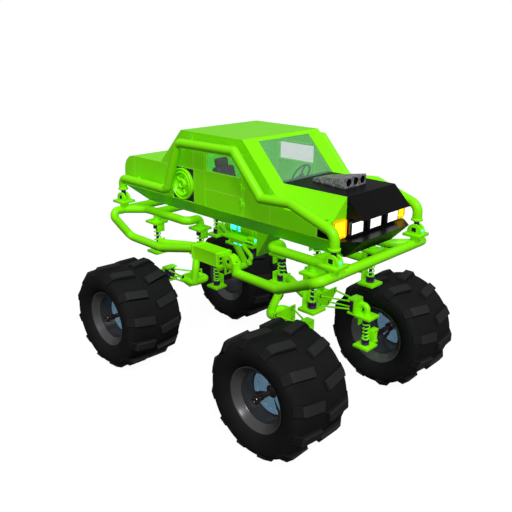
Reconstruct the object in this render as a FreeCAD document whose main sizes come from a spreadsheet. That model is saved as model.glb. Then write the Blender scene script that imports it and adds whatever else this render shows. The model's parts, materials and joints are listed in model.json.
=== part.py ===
import FreeCAD, Part
import Sketcher
import math
import os

V = FreeCAD.Vector
doc = FreeCAD.newDocument("MonsterTruck")

# Frame: +X forward, +Y to the truck's left, +Z up, on the ground midway between the axles. Millimetres and degrees.
SIZES = (
    # name, value, what it is
    ("pipe_sides", 8, "flats round a frame tube"),
    ("coil_sides", 6, "flats round a spring or damper"),
    ("axle_x", 1668, "wheel centre ahead of or behind the middle"),
    ("wheel_y", 1287, "tyre's mid-plane from the centre line"),
    ("crown_r", 838, "flat top of a lug, and the height of the axles"),
    ("tyre_half", 516.5, "half the tyre's width over the lugs"),
    ("tread_r", 778, "carcass under the lugs"),
    ("tread_y", 385, "edge of the tread"),
    ("shoulder_r", 710, "lug's outer end, radius"),
    ("wall_r", 620, "widest part of the carcass, radius"),
    ("wall_y", 508, "widest part of the carcass, from the mid-plane"),
    ("bead_y", 407, "bead seat's end, from the mid-plane"),
    ("seat_r", 432, "bead seat"),
    ("tyre_skin", 45, "carcass thickness"),
    ("lug_rows", 12, "lugs in each of the two rows"),
    ("lug_width", 130, "lug, along the tread"),
    ("lug_slant", 10, "lug turned from the axle's direction, degrees"),
    ("lug_inset", 24, "lug's inner end from the mid-plane"),
    ("wheel_sides", 20, "flats round the tyre and rim"),
    ("lip_r", 446, "rim flange"),
    ("rim_out", 427.5, "rim flange's outer face, from the mid-plane"),
    ("rim_back", 419, "rim flange's inner face, from the mid-plane"),
    ("flange", 12, "rim flange thickness"),
    ("drop_r", 384, "rim's drop centre"),
    ("barrel_r", 330, "deep barrel inside the rim"),
    ("cone_y", 330, "where the lip's cone meets the deep barrel"),
    ("web_y", 103, "wheel centre's inner face, outward of the mid-plane"),
    ("web_thick", 20, "wheel centre plate"),
    ("disc_r", 270, "pale sector disc on the wheel centre"),
    ("hub_r", 70, "hub sleeve"),
    ("hub_back", 60, "hub sleeve's inner end, inward of the mid-plane"),
    ("spindle_r", 40, "stub axle"),
    ("hub_tip", 443, "end of the hub's ball and cup"),
    ("cup_r", 60, "hub cup"),
    ("neck_r", 32, "hub neck"),
    ("kingpin_y", 850, "steering pivot from the centre line"),
    ("kingpin_r", 20, "steering pin"),
    ("knuckle_r", 44, "knuckle's barrel round the pin"),
    ("knuckle_half", 70, "half the barrel's height"),
    ("web_wide", 120, "axle block's upright plate along the truck"),
    ("web_deep", 20, "axle block's upright plate"),
    ("arm_wide", 90, "fork's arms along the truck"),
    ("arm_past", 40, "fork's arms past the pin"),
    ("air_gap", 5, "between pieces that move past each other"),
    ("running", 0.05, "radial play on a pin or stub axle"),
    ("body_half", 776, "half the body's width"),
    ("belly_half", 515, "half the flat belly, the bonnet and the screens"),
    ("belly_z", 2515, "underside of the belly"),
    ("sill_z", 2775, "top of the belly's chamfer"),
    ("crease_z", 3030, "body crease, and the nose's tip"),
    ("belt_z", 3285, "deck, bonnet and window line"),
    ("roof_z", 3820, "roof"),
    ("skin", 45, "body panel thickness"),
    ("body_end", 2030, "flat sides end here, front and back"),
    ("nose_x", 2290, "tip of the nose and back of the tail"),
    ("deck_x", 1305, "front of the rear deck, behind the middle"),
    ("roof_back", 790, "roof's rear edge, behind the middle"),
    ("roof_front", 490, "roof's front edge"),
    ("cowl_x", 1000, "foot of the windscreen"),
    ("fender_x", 1260, "front of the cowl corner"),
    ("door_back", 285, "door opening's rear edge, behind the middle"),
    ("door_gap", 8, "round each door"),
    ("header_z", 3595, "top of the door opening"),
    ("window_edge", 28, "door frame round the glass"),
    ("window_z", 3300, "foot of the door's glass"),
    ("glass", 9, "glass thickness"),
    ("glass_in", 16, "glass behind the outer skin"),
    ("hinge_r", 13, "door hinge barrel"),
    ("hinge_long", 90, "door hinge barrel's length"),
    ("hinge_up", 150, "lower hinge above the sill, upper one below the belt"),
    ("hinge_play", 0.3, "between the two halves of a hinge barrel"),
    ("hinge_leaf", 40, "door hinge's leaf along the truck"),
    ("hinge_sink", 8, "door hinge's leaf let into the panel"),
    ("recess_back", 215, "lamp band's back wall behind the lips' tips"),
    ("lamp_wide", 290, "head lamp's width"),
    ("lamp_pitch", 386, "between head lamps"),
    ("lamp_high", 195, "head lamp's height"),
    ("lamp_deep", 45, "head lamp stands off its wall"),
    ("corner_thick", 18, "corner lamp"),
    ("scoop_front", 1775, "scoop's mouth"),
    ("scoop_back", 1190, "scoop's tail"),
    ("scoop_half", 235, "half the scoop's mouth"),
    ("scoop_tail", 160, "half the scoop's tail"),
    ("scoop_high", 140, "scoop's mouth above the bonnet"),
    ("scoop_low", 45, "scoop's tail above the bonnet"),
    ("scoop_hole_r", 50, "scoop's intake holes"),
    ("fan_x", 780, "side fan, behind the middle"),
    ("fan_r", 240, "side fan's ring, outside"),
    ("fan_edge", 5, "recess past the fan's ring"),
    ("fan_bore", 190, "side fan's ring, inside"),
    ("fan_sink", 14, "recess in the quarter panel"),
    ("fan_deep", 56, "side fan's ring, depth"),
    ("fan_hub", 66, "side fan's hub"),
    ("fan_blades", 6, "side fan's blades"),
    ("seat_in", 110, "seat's inner side"),
    ("seat_out", 480, "seat's outer side"),
    ("pipe_r", 68, "frame tube"),
    ("rail_out", 134, "outer rail's axis outward of the body"),
    ("mount_x", 2170, "body mounts, ahead and behind"),
    ("mount_post", 120, "body mount's plate above the upper frame's axis"),
    ("mount_half", 120, "half the body mount's block along the truck"),
    ("mount_deep", 120, "body mount's block across the truck"),
    ("mount_high", 130, "body mount's block above its plate"),
    ("mount_neck", 42, "body mount's neck up to the outer rail's flange"),
    ("neck_wide", 38, "body mount's neck, radius"),
    ("foot_r", 80, "outer rail's flange"),
    ("foot_thick", 30, "outer rail's flange"),
    ("stay_r", 30, "outer rail's stays to the body"),
    ("frame_z", 2400, "upper frame's tubes"),
    ("frame_in", 650, "upper frame's long tubes from the centre line"),
    ("tip_out", 90, "upper frame's end tubes past the outer rails"),
    ("plate", 262, "square plates"),
    ("plate_thick", 40, "square plates"),
    ("coil_x", 1655, "outer coilover, ahead and behind"),
    ("coil_y", 650, "outer coilover from the centre line"),
    ("inner_x", 875, "inner coilover, ahead and behind"),
    ("inner_y", 390, "inner coilover from the centre line"),
    ("coil_top", 2266, "upper coilovers' top plate, upper face"),
    ("coil_long", 286, "outer coilover's coil"),
    ("inner_coil_long", 196, "inner coilover's coil"),
    ("hub_coil_x", 1660, "wheel coilover, ahead and behind"),
    ("hub_coil_y", 630, "wheel coilover from the centre line"),
    ("hub_coil_top", 1242, "wheel coilover's top plate, upper face"),
    ("hub_coil_long", 259, "wheel coilover's coil"),
    ("coil_r", 62, "coil spring, outside"),
    ("coil_wire", 20, "coil spring's wire"),
    ("coil_turns", 2, "coil spring's turns"),
    ("damper_r", 68, "damper body"),
    ("rod_r", 26, "damper rod"),
    ("damper_low", 90, "damper's lower body"),
    ("damper_high", 90, "damper's upper body"),
    ("tab_at", 110, "coilover's tab, its far face from the coilover's axis"),
    ("tab_thick", 20, "coilover's tab"),
    ("tab_half", 70, "half the tab's width"),
    ("tab_high", 135, "tab's height"),
    ("strut_r", 60, "strut between two coilovers' feet"),
    ("hoop_x", 925, "hoop tube's middle, ahead and behind"),
    ("hoop_in", 320, "hoop tube's inner end from the centre line"),
    ("hoop_out", 600, "hoop tube's outer end from the centre line"),
    ("hoop_z", 1385, "hoop tube's axis"),
    ("link_x", 1035, "link plate's face towards the wheel, ahead and behind"),
    ("link_thick", 20, "link plate"),
    ("link_near", 250, "link plate's inner edge from the centre line"),
    ("link_far", 700, "link plate's outer edge from the centre line"),
    ("link_foot", 1235, "link plate's lower edge"),
    ("link_top", 1487, "link plate's upper edge"),
    ("link_cut", 175, "link plate's lower outer corner cut off"),
    ("link_r", 16, "link rod"),
    ("link_low", 1290, "lower link rods"),
    ("link_high", 1445, "upper link rods"),
    ("carrier_x", 1420, "wheel carrier's near face"),
    ("carrier_long", 130, "wheel carrier along the truck"),
    ("carrier_in", 455, "wheel carrier's inner side"),
    ("carrier_out", 665, "wheel carrier's outer side"),
    ("carrier_low", 1245, "wheel carrier's underside"),
    ("carrier_high", 1490, "wheel carrier's top"),
    ("carrier_wall", 24, "wheel carrier's plates"),
    ("carrier_step", 25, "wheel carrier's core inside its plates"),
    ("elbow_r", 46, "wheel carrier's elbow"),
    ("link_spread", 60, "link rods' ends from the wheel carrier's top and underside"),
    ("elbow_z", 1380, "wheel carrier's elbow, its level end"),
    ("box_front", 270, "side box ahead of the middle"),
    ("box_back", 345, "side box behind the middle"),
    ("box_in", 780, "side box's inner face"),
    ("box_out", 1030, "side box's outer face"),
    ("box_low", 2040, "side box's underside"),
    ("box_high", 2240, "side box's top"),
    ("low_y", 905, "lower rail from the centre line"),
    ("wedge_x", 170, "belly wedge's rear face"),
    ("wedge_tip", 500, "belly wedge's front end"),
    ("wedge_z", 1970, "belly wedge's lowest edge"),
    ("wedge_half", 180, "half the belly wedge"),
    ("drum_r", 165, "power unit's drum"),
    ("drum_z", 2330, "power unit's axis"),
    ("drum_back", 560, "power unit's rear end, behind the middle"),
    ("drum_front", 120, "power unit's front end"),
)
sheet = doc.addObject("Spreadsheet::Sheet", "sz")
for row, (alias, value, note) in enumerate(SIZES, 1):
    sheet.set(f"A{row}", note)
    sheet.set(f"B{row}", str(value))
    sheet.setAlias(f"B{row}", alias)
doc.recompute()


class Read:
    pass


n = Read()
for alias, value, note in SIZES:
    setattr(n, alias, float(sheet.get(alias)))

# places that follow from the sizes
n.rail_y = n.body_half + n.rail_out
n.frame_tip = n.rail_y + n.tip_out
n.mount_foot = n.frame_z + n.mount_post
n.rail_foot = n.mount_foot + n.plate_thick + n.mount_high + n.mount_neck
coil_ends = 2 * n.plate_thick + n.damper_low + n.damper_high
n.coil_foot = n.coil_top - coil_ends - n.coil_long
n.inner_foot = n.coil_top - coil_ends - n.inner_coil_long
n.hub_coil_foot = n.hub_coil_top - coil_ends - n.hub_coil_long
n.strut_z = n.inner_foot + n.plate_thick + n.strut_r + n.air_gap

nodes = []


def keep(obj, label):
    obj.Label = label
    nodes.append(obj)
    return obj


# ---- parametric bodies ----

def amount(expr):
    found = sheet.evalExpression(str(expr))
    return float(getattr(found, "Value", found))


def newBody(name):
    body = doc.addObject("PartDesign::Body", name)
    body.AllowCompound = True
    return body


def plane(body, role):
    return next(f for f in body.Origin.OriginFeatures if f.Role == role)


def place(obj, **where):
    for axis, expr in where.items():
        obj.setExpression(f"Placement.Base.{axis}", str(expr))
    return obj


# a sketch of closed loops of lines; every corner is bound to the sheet
def outline(body, name, role, loops, offset):
    sk = body.newObject("Sketcher::SketchObject", name)
    sk.AttachmentSupport = (plane(body, role), "")
    sk.MapMode = "FlatFace"
    sk.setExpression("AttachmentOffset.Base.z", str(offset))
    bound = []
    for loop in loops:
        at = [V(amount(x), amount(y), 0) for x, y in loop]
        first = sk.GeometryCount
        sk.addGeometry([Part.LineSegment(at[i], at[(i + 1) % len(at)]) for i in range(len(at))])
        for i in range(len(at)):
            sk.addConstraint(Sketcher.Constraint("Coincident", first + i, 2, first + (i + 1) % len(at), 1))
        for i, (x, y) in enumerate(loop):
            bound.append((sk.addConstraint(Sketcher.Constraint("DistanceX", -1, 1, first + i, 1, at[i].x)), x))
            bound.append((sk.addConstraint(Sketcher.Constraint("DistanceY", -1, 1, first + i, 1, at[i].y)), y))
    for index, expr in bound:
        sk.setExpression(f"Constraints[{index}]", str(expr))
    return sk


# a slab from low to high along the plane's own axis: X for YZ, Y for XZ, Z for XY
def slab(body, name, role, loops, low, high):
    start = f"-({high})" if role == "XZ_Plane" else low
    sk = outline(body, name + "_sk", role, loops, start)
    pad = body.newObject("PartDesign::Pad", name)
    pad.Profile = sk
    pad.setExpression("Length", f"({high}) - ({low})")
    body.Tip = pad
    doc.recompute()
    return pad


def cut(body, name, role, loops, low, high):
    before = body.Shape.Volume
    start = f"-({low})" if role == "XZ_Plane" else high
    sk = outline(body, name + "_sk", role, loops, start)
    pocket = body.newObject("PartDesign::Pocket", name)
    pocket.Profile = sk
    pocket.setExpression("Length", f"({high}) - ({low})")
    body.Tip = pocket
    doc.recompute()
    if body.Shape.Volume > before - 1:
        raise RuntimeError(f"{name} cut nothing")
    return pocket


# many-sided round outline about (x, y)
def roundOutline(x, y, r, sides):
    turns = [math.pi * (2 * k + 1) / sides for k in range(sides)]
    return [(f"{x} + {r} * {math.cos(a):.5f}", f"{y} + {r} * {math.sin(a):.5f}") for a in turns]


def rect(x0, y0, x1, y1):
    return [(x0, y0), (x1, y0), (x1, y1), (x0, y1)]


def mirrored(obj, label):
    copy = doc.addObject("Part::Mirroring", label)
    copy.Source = obj
    copy.Base = V(0, 0, 0)
    copy.Normal = V(0, 1, 0)
    return copy


def pair(obj, label):
    both = doc.addObject("Part::Compound", label)
    both.Links = [obj, mirrored(obj, label + "_mirror")]
    return keep(both, label)


# ---- plain shapes for bent tubes and their fittings ----

# a closed skin of flat faces through rings of points
def skinned(rings, closed=False):
    faces = []
    for a, b in zip(rings, rings[1:] + rings[:1] if closed else rings[1:]):
        for k in range(len(a)):
            corners = [a[k], a[(k + 1) % len(a)], b[(k + 1) % len(b)], b[k]]
            faces.append(Part.Face(Part.makePolygon(corners + corners[:1])))
    if not closed:
        faces += [Part.Face(Part.makePolygon(ring + ring[:1])) for ring in (rings[0], rings[-1])]
    solid = Part.Solid(Part.Shell(faces))
    if solid.Volume < 0:
        solid.reverse()
    return solid


def across(way):
    way = V(way).normalize()
    side = way.cross(V(0, 0, 1) if abs(way.z) < 0.9 else V(1, 0, 0)).normalize()
    return side, side.cross(way)


def ringAt(at, way, radius, sides, turn=1):
    u, v = across(way)
    turns = [math.pi * (2 * k + turn) / sides for k in range(sides)]
    return [at + u * (radius * math.cos(a)) + v * (radius * math.sin(a)) for a in turns]


# flat-sided turning: (distance along the axis, radius) pairs
def turning(at, way, profile, sides, closed=False):
    at, way = V(*at), V(*way)
    return skinned([ringAt(at + way * along, way, radius, sides) for along, radius in profile], closed)


# round bar through the points, with a mitre at each corner
def tube(points, radius, sides=0):
    sides = sides or int(n.pipe_sides)
    at = [V(*p) for p in points]
    ways = [(b - a).normalize() for a, b in zip(at, at[1:])]
    rings = [ringAt(at[0], ways[0], radius, sides)]
    for i, way in enumerate(ways):
        normal = way + ways[i + 1] if i + 1 < len(ways) else way
        rings.append([p + way * ((at[i + 1] - p).dot(normal) / way.dot(normal)) for p in rings[-1]])
    return skinned(rings)


def rod(start, end, radius, sides=0):
    return tube([start, end], radius, sides)


# the hole a flat-sided bar turns in: turned half a step, its flats clear the bar's corners by the running play
def bore(start, end, radius, sides):
    start, end = V(*start), V(*end)
    corner_r = (radius + n.running) / math.cos(math.pi / sides)
    return skinned([ringAt(at, end - start, corner_r, sides, 0) for at in (start, end)])


def block(x0, x1, y0, y1, z0, z1):
    return Part.makeBox(x1 - x0, y1 - y0, z1 - z0, V(x0, y0, z0))


def joined(shapes):
    whole = shapes[0].multiFuse(shapes[1:]).removeSplitter()
    if len(whole.Solids) != 1:
        raise RuntimeError("a joined piece is in several solids")
    return whole.Solids[0]


def flip(shape, x=False, y=False):
    if x:
        shape = shape.mirror(V(0, 0, 0), V(1, 0, 0))
    if y:
        shape = shape.mirror(V(0, 0, 0), V(0, 1, 0))
    return shape


def four(shape):
    return [shape, flip(shape, x=True), flip(shape, y=True), flip(shape, x=True, y=True)]


def piece(label, shapes):
    obj = doc.addObject("Part::Feature", label)
    obj.Shape = shapes[0] if len(shapes) == 1 else Part.makeCompound(shapes)
    return keep(obj, label)


# ---- body ----

side_in = "sz.body_half - sz.skin"
slope = "sz.skin * 1.39"

tub = newBody("body_tub")
chamfer_in = "sz.body_half - sz.skin * 1.4142"
floor_in = "sz.belly_half - sz.skin * 0.4142"
floor_z = "sz.belly_z + sz.skin"
outer_tub = [("-sz.body_half", "sz.sill_z"), ("-sz.belly_half", "sz.belly_z"), ("sz.belly_half", "sz.belly_z"), ("sz.body_half", "sz.sill_z")]
inner_tub = [(chamfer_in, "sz.sill_z"), (floor_in, floor_z), (f"-({floor_in})", floor_z), (f"-({chamfer_in})", "sz.sill_z")]
slab(tub, "tub_wall", "YZ_Plane", [outer_tub + inner_tub], "-sz.body_end", "sz.body_end")
slab(tub, "tub_front", "YZ_Plane", [outer_tub], "sz.body_end - sz.skin", "sz.body_end")
slab(tub, "tub_back", "YZ_Plane", [outer_tub], "-sz.body_end", "-sz.body_end + sz.skin")
keep(tub, "body_tub")

# the panel behind each door, with the roof's sail, the strip over the door and a shallow square for the fan
top_in = "sz.roof_z - sz.skin"
sail_top = "-sz.roof_back - sz.skin * (sz.deck_x - sz.roof_back) / (sz.roof_z - sz.belt_z)"
pillar_top = "sz.roof_front + sz.skin * (sz.cowl_x - sz.roof_front) / (sz.roof_z - sz.belt_z)"
quarter = newBody("quarter")
slab(quarter, "quarter_skin", "XZ_Plane", [[
    ("-sz.body_end", "sz.sill_z"), ("-sz.door_back", "sz.sill_z"), ("-sz.door_back", "sz.header_z"), ("sz.roof_front", "sz.header_z"),
    ("sz.roof_front", top_in), (sail_top, top_in), ("-sz.deck_x", "sz.belt_z"), ("-sz.body_end", "sz.belt_z")]], side_in, "sz.body_half")
slab(quarter, "rear_pillar", "XZ_Plane", [[
    (sail_top, top_in), ("-sz.deck_x", "sz.belt_z"), (f"-sz.deck_x + {slope}", "sz.belt_z"), (f"{sail_top} + {slope}", top_in)]],
    "sz.belly_half", side_in)
cut(quarter, "fan_recess", "XZ_Plane", [rect("-sz.fan_x - sz.fan_r - sz.fan_edge", "sz.crease_z - sz.fan_r - sz.fan_edge", "-sz.fan_x + sz.fan_r + sz.fan_edge", "sz.crease_z + sz.fan_r + sz.fan_edge")],
    "sz.body_half - sz.fan_sink", "sz.body_half")
pair(quarter, "quarter_panels")

# the panel ahead of each door, with the sloping wing, the cowl corner and the windscreen pillar
fender = newBody("fender")
slab(fender, "fender_side", "XZ_Plane", [[
    ("sz.roof_front", "sz.sill_z"), ("sz.body_end", "sz.sill_z"), ("sz.body_end", "sz.crease_z"), ("sz.fender_x", "sz.crease_z"),
    ("sz.cowl_x", "sz.belt_z"), (pillar_top, top_in), ("sz.roof_front", top_in)]], side_in, "sz.body_half")
slab(fender, "fender_slope", "YZ_Plane", [[
    ("sz.body_half", "sz.crease_z"), ("sz.belly_half", "sz.belt_z"), ("sz.belly_half", "sz.belt_z - sz.skin * 1.4142"),
    ("sz.body_half - sz.skin / 2", "sz.crease_z - sz.skin * 0.9142"), ("sz.body_half", "sz.crease_z - sz.skin")]],
    "sz.cowl_x", "sz.body_end")
slab(fender, "cowl_corner", "XZ_Plane", [[
    ("sz.cowl_x - sz.skin", "sz.belt_z"), ("sz.cowl_x", "sz.belt_z"), ("sz.fender_x", "sz.crease_z"), ("sz.fender_x", "sz.crease_z - sz.skin * 1.4142"),
    ("sz.cowl_x", "sz.belt_z - sz.skin * 1.4142"), ("sz.cowl_x - sz.skin", "sz.belt_z - sz.skin * 1.4142")]], "sz.belly_half", "sz.body_half")
slab(fender, "fender_end", "YZ_Plane", [[
    ("sz.belly_half", "sz.sill_z"), ("sz.body_half", "sz.sill_z"), ("sz.body_half", "sz.crease_z"), ("sz.belly_half", "sz.belt_z")]],
    "sz.body_end - sz.skin", "sz.body_end")
slab(fender, "front_pillar", "XZ_Plane", [[
    (pillar_top, top_in), ("sz.cowl_x", "sz.belt_z"), (f"sz.cowl_x - {slope}", "sz.belt_z"), (f"{pillar_top} - {slope}", top_in)]],
    "sz.belly_half", side_in)
# hinges stand on the skin: a leaf let into the panel, and half of the barrel
hinge_x = "sz.roof_front - sz.door_gap / 2"
hinge_y = "sz.body_half + sz.hinge_r + sz.air_gap"
hinge_zs = ("sz.sill_z + sz.hinge_up", "sz.belt_z - sz.hinge_up")


def hinge(body, name, x0, x1, z):
    top = f"{z} + sz.hinge_long / 2"
    slab(body, name + "_leaf", "XY_Plane", [rect(x0, "sz.body_half - sz.hinge_sink", x1, hinge_y)], z, top)
    slab(body, name + "_barrel", "XY_Plane", [roundOutline(hinge_x, hinge_y, "sz.hinge_r", 8)], z, top)


for i, z in enumerate(hinge_zs):
    hinge(fender, f"fender_hinge{i}", "sz.roof_front", "sz.roof_front + sz.hinge_leaf", z)
pair(fender, "front_fenders")

roof = newBody("roof_panel")
slab(roof, "roof_skin", "XZ_Plane", [[
    (sail_top, top_in), ("-sz.roof_back", "sz.roof_z"), ("sz.roof_front", "sz.roof_z"), (pillar_top, top_in)]], "-sz.body_half", "sz.body_half")
keep(roof, "roof_panel")

pane = "sz.glass * 1.39"
screen = newBody("windshield")
slab(screen, "screen_pane", "XZ_Plane", [[
    (f"{pillar_top} - {pane}", top_in), (f"sz.cowl_x - {pane}", "sz.belt_z"), (f"sz.cowl_x - {pane} * 2", "sz.belt_z"), (f"{pillar_top} - {pane} * 2", top_in)]],
    "-sz.belly_half", "sz.belly_half")
keep(screen, "windshield")
back_screen = newBody("rear_glass")
slab(back_screen, "back_pane", "XZ_Plane", [[
    (f"{sail_top} + {pane}", top_in), (f"-sz.deck_x + {pane}", "sz.belt_z"), (f"-sz.deck_x + {pane} * 2", "sz.belt_z"), (f"{sail_top} + {pane} * 2", top_in)]],
    "-sz.belly_half", "sz.belly_half")
keep(back_screen, "rear_glass")

hood = newBody("hood")
slab(hood, "hood_skin", "XZ_Plane", [rect("sz.cowl_x - sz.skin", "sz.belt_z - sz.skin", "sz.body_end", "sz.belt_z")], "-sz.belly_half", "sz.belly_half")
keep(hood, "hood")

# deck and rounded tail: a hollow shell whose lower corners follow the belly's chamfer
def tail(shrink):
    end, half, flat = n.nose_x - shrink, n.body_half - shrink, n.belly_half - shrink * 0.4142
    low, top, r = n.belly_z + shrink, n.belt_z - shrink, n.belt_z - n.crease_z - shrink
    bends = [math.pi / 2 * k / 4 for k in range(5)]
    side = [(-n.body_end, low), (-n.body_end, top)] + [(-end + r - r * math.sin(a), top - r + r * math.cos(a)) for a in bends] + [(-end, n.sill_z)]
    along = Part.Face(Part.makePolygon([V(x, -half, z) for x, z in side + side[:1]])).extrude(V(0, 2 * half, 0))
    section = [(-half, top), (-half, n.sill_z), (-flat, low), (flat, low), (half, n.sill_z), (half, top)]
    across_body = Part.Face(Part.makePolygon([V(-end, y, z) for y, z in section + section[:1]])).extrude(V(end - n.body_end, 0, 0))
    return along.common(across_body)


deck_skin = block(-n.body_end, -n.deck_x, -n.body_half + n.skin, n.body_half - n.skin, n.belt_z - n.skin, n.belt_z)
tail_shell = tail(0).cut(tail(n.skin))
piece("bed_deck", [joined([deck_skin, tail_shell])])

# nose: two lips round the lamp band, and the lower lip's corner wings
nose_side = [(n.body_end, n.belt_z), (n.nose_x, n.crease_z), (n.nose_x - n.recess_back, n.crease_z), (n.nose_x - n.recess_back, n.sill_z),
             (n.nose_x, n.sill_z), (n.body_end, n.belly_z)]
nose = Part.Face(Part.makePolygon([V(x, -n.belly_half, z) for x, z in nose_side + nose_side[:1]])).extrude(V(0, 2 * n.belly_half, 0))
wing_at = [V(n.body_end, n.body_half, n.sill_z), V(n.nose_x, n.belly_half, n.sill_z), V(n.body_end, n.belly_half, n.sill_z), V(n.body_end, n.belly_half, n.belly_z)]
wing = Part.Solid(Part.Shell([Part.Face(Part.makePolygon([wing_at[i] for i in face + face[:1]])) for face in ([0, 1, 2], [0, 1, 3], [1, 2, 3], [0, 2, 3])]))
if wing.Volume < 0:
    wing.reverse()
piece("nose", [joined([nose, wing, flip(wing, y=True)])])

lamp_back = n.nose_x - n.recess_back
lamp_low = n.sill_z + 20
piece("head_lamps", [block(lamp_back, lamp_back + n.lamp_deep, y - n.lamp_wide / 2, y + n.lamp_wide / 2, lamp_low, lamp_low + n.lamp_high)
                     for y in (-n.lamp_pitch, 0, n.lamp_pitch)])
corner = block(n.body_end, n.body_end + n.corner_thick, n.belly_half + 15, n.body_half - 8, n.sill_z + 15, n.crease_z - 10)
piece("corner_lamps", [corner, flip(corner, y=True)])

# bonnet scoop: tapers from a wide mouth to a low tail, with three round intakes
def scoopRing(x, half, high):
    lean = 0.13 * high
    return [V(x, -half, n.belt_z), V(x, half, n.belt_z), V(x, half - lean, n.belt_z + high), V(x, lean - half, n.belt_z + high)]


scoop = skinned([scoopRing(n.scoop_front, n.scoop_half, n.scoop_high), scoopRing(n.scoop_back, n.scoop_tail, n.scoop_low)])
for k in (-1, 0, 1):
    at = (n.scoop_front - 70, k * n.scoop_hole_r * 2.9, n.belt_z + n.scoop_high / 2)
    scoop = scoop.cut(rod(at, (n.scoop_front + 10,) + at[1:], n.scoop_hole_r))
piece("scoop", [scoop.Solids[0]])

# side fan: ring, hub and blades in the quarter panel's recess
fan = newBody("fan")
fan_face = "sz.body_half - sz.fan_sink"
slab(fan, "fan_ring", "XZ_Plane", [roundOutline("0", "0", "sz.fan_r", 12), roundOutline("0", "0", "sz.fan_bore", 12)], fan_face, f"{fan_face} + sz.fan_deep")
slab(fan, "fan_blade", "XZ_Plane", [[("sz.fan_hub - 12", "-14"), ("sz.fan_bore + 8", "-34"), ("sz.fan_bore + 8", "6"), ("sz.fan_hub - 12", "14")]], fan_face, f"{fan_face} + sz.fan_deep * 0.45")
blades = fan.newObject("PartDesign::PolarPattern", "fan_blades")
blades.Originals = [doc.getObject("fan_blade")]
blades.Axis = (doc.getObject("fan_blade_sk"), ["N_Axis"])
blades.Angle = 360
blades.setExpression("Occurrences", "sz.fan_blades")
fan.Tip = blades
doc.recompute()
slab(fan, "fan_middle", "XZ_Plane", [roundOutline("0", "0", "sz.fan_hub", 8)], fan_face, f"{fan_face} + sz.fan_deep")
place(fan, x="-sz.fan_x", z="sz.crease_z")
pair(fan, "side_fans")

# seats and dashboard
seat = newBody("seat")
slab(seat, "seat_side", "XZ_Plane", [[("-330", floor_z), ("220", floor_z), ("250", "2905"), ("215", "2935"), ("-215", "2895"), ("-350", "3450"), ("-395", "3480"), ("-470", "3455")]],
     "sz.seat_in", "sz.seat_out")
pair(seat, "seats")
dash_in = n.body_half - n.skin
dash_side = [(780, 2990), (n.cowl_x - n.skin - 10, 2990), (n.cowl_x - n.skin - 10, n.belt_z - 14), (880, n.belt_z - 14), (780, 3180)]
dash = Part.Face(Part.makePolygon([V(x, -dash_in, z) for x, z in dash_side + dash_side[:1]])).extrude(V(0, 2 * dash_in, 0))
column = rod((830, 290, 3105), (590, 290, 3225), 18)
twelve = [Part.Face(Part.makePolygon([V(r * math.cos(math.pi * k / 6), r * math.sin(math.pi * k / 6), 0) for k in range(13)])).extrude(V(0, 0, 24)) for r in (180, 152)]
steering = joined([twelve[0].cut(twelve[1]), block(-160, 160, -20, 20, 2, 20)])
steering.Placement = FreeCAD.Placement(V(600, 290, 3220), FreeCAD.Rotation(V(0, 0, 1), V(-240, 0, 120)))
piece("dashboard", [joined([dash, column, steering])])

# ---- doors ----

def door(name):
    body = newBody(name)
    left, right = "-sz.door_back + sz.door_gap", "sz.roof_front - sz.door_gap"
    low, high = "sz.sill_z + sz.door_gap", "sz.header_z - sz.door_gap"
    window = [(f"{left} + sz.window_edge", "sz.window_z"), (f"{right} - sz.window_edge", "sz.window_z"),
              (f"{right} - sz.window_edge", f"{high} - sz.window_edge"), (f"{left} + sz.window_edge", f"{high} - sz.window_edge")]
    slab(body, name + "_skin", "XZ_Plane", [rect(left, low, right, high), window], side_in, "sz.body_half")
    for i, z in enumerate(hinge_zs):
        hinge(body, f"{name}_hinge{i}", f"{right} - sz.hinge_leaf", right, f"{z} + sz.hinge_long / 2 + sz.hinge_play")
    pane_body = newBody(name + "_pane")
    slab(pane_body, name + "_glass", "XZ_Plane", [window], "sz.body_half - sz.glass_in - sz.glass", "sz.body_half - sz.glass_in")
    return body, pane_body


door_body, door_pane = door("door")
keep(door_body, "door_left")
keep(door_pane, "door_glass_left")
keep(mirrored(door_body, "door_right"), "door_right")
keep(mirrored(door_pane, "door_glass_right"), "door_glass_right")

# ---- outer rails, upper frame and lower rails ----

rail_path = [(-n.mount_x, n.rail_foot), (-n.mount_x, n.rail_foot + 130), (-n.mount_x + 60, n.rail_foot + 190), (-1000, 2920), (-690, 3660), (474, 3680), (970, 3140), (1480, 3170),
             (n.mount_x - 95, n.rail_foot + 242), (n.mount_x, n.rail_foot + 140), (n.mount_x, n.rail_foot)]
rail_stays = (-1900, -1250, -560, 300, 1060, 1985)


def railHeight(x):
    for (x0, z0), (x1, z1) in zip(rail_path[1:], rail_path[2:]):
        if x0 <= x <= x1:
            return z0 + (z1 - z0) * (x - x0) / (x1 - x0)


rail = tube([(x, n.rail_y, z) for x, z in rail_path], n.pipe_r)
stays = [rod((x, n.body_half, railHeight(x)), (x, n.rail_y, railHeight(x)), n.stay_r, 6) for x in rail_stays]
feet = [rod((x, n.rail_y, n.rail_foot), (x, n.rail_y, n.rail_foot + n.foot_thick), n.foot_r) for x in (-n.mount_x, n.mount_x)]
rail = joined([rail] + stays + feet)
piece("exo_rail_left", [rail])
piece("exo_rail_right", [flip(rail, y=True)])

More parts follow.
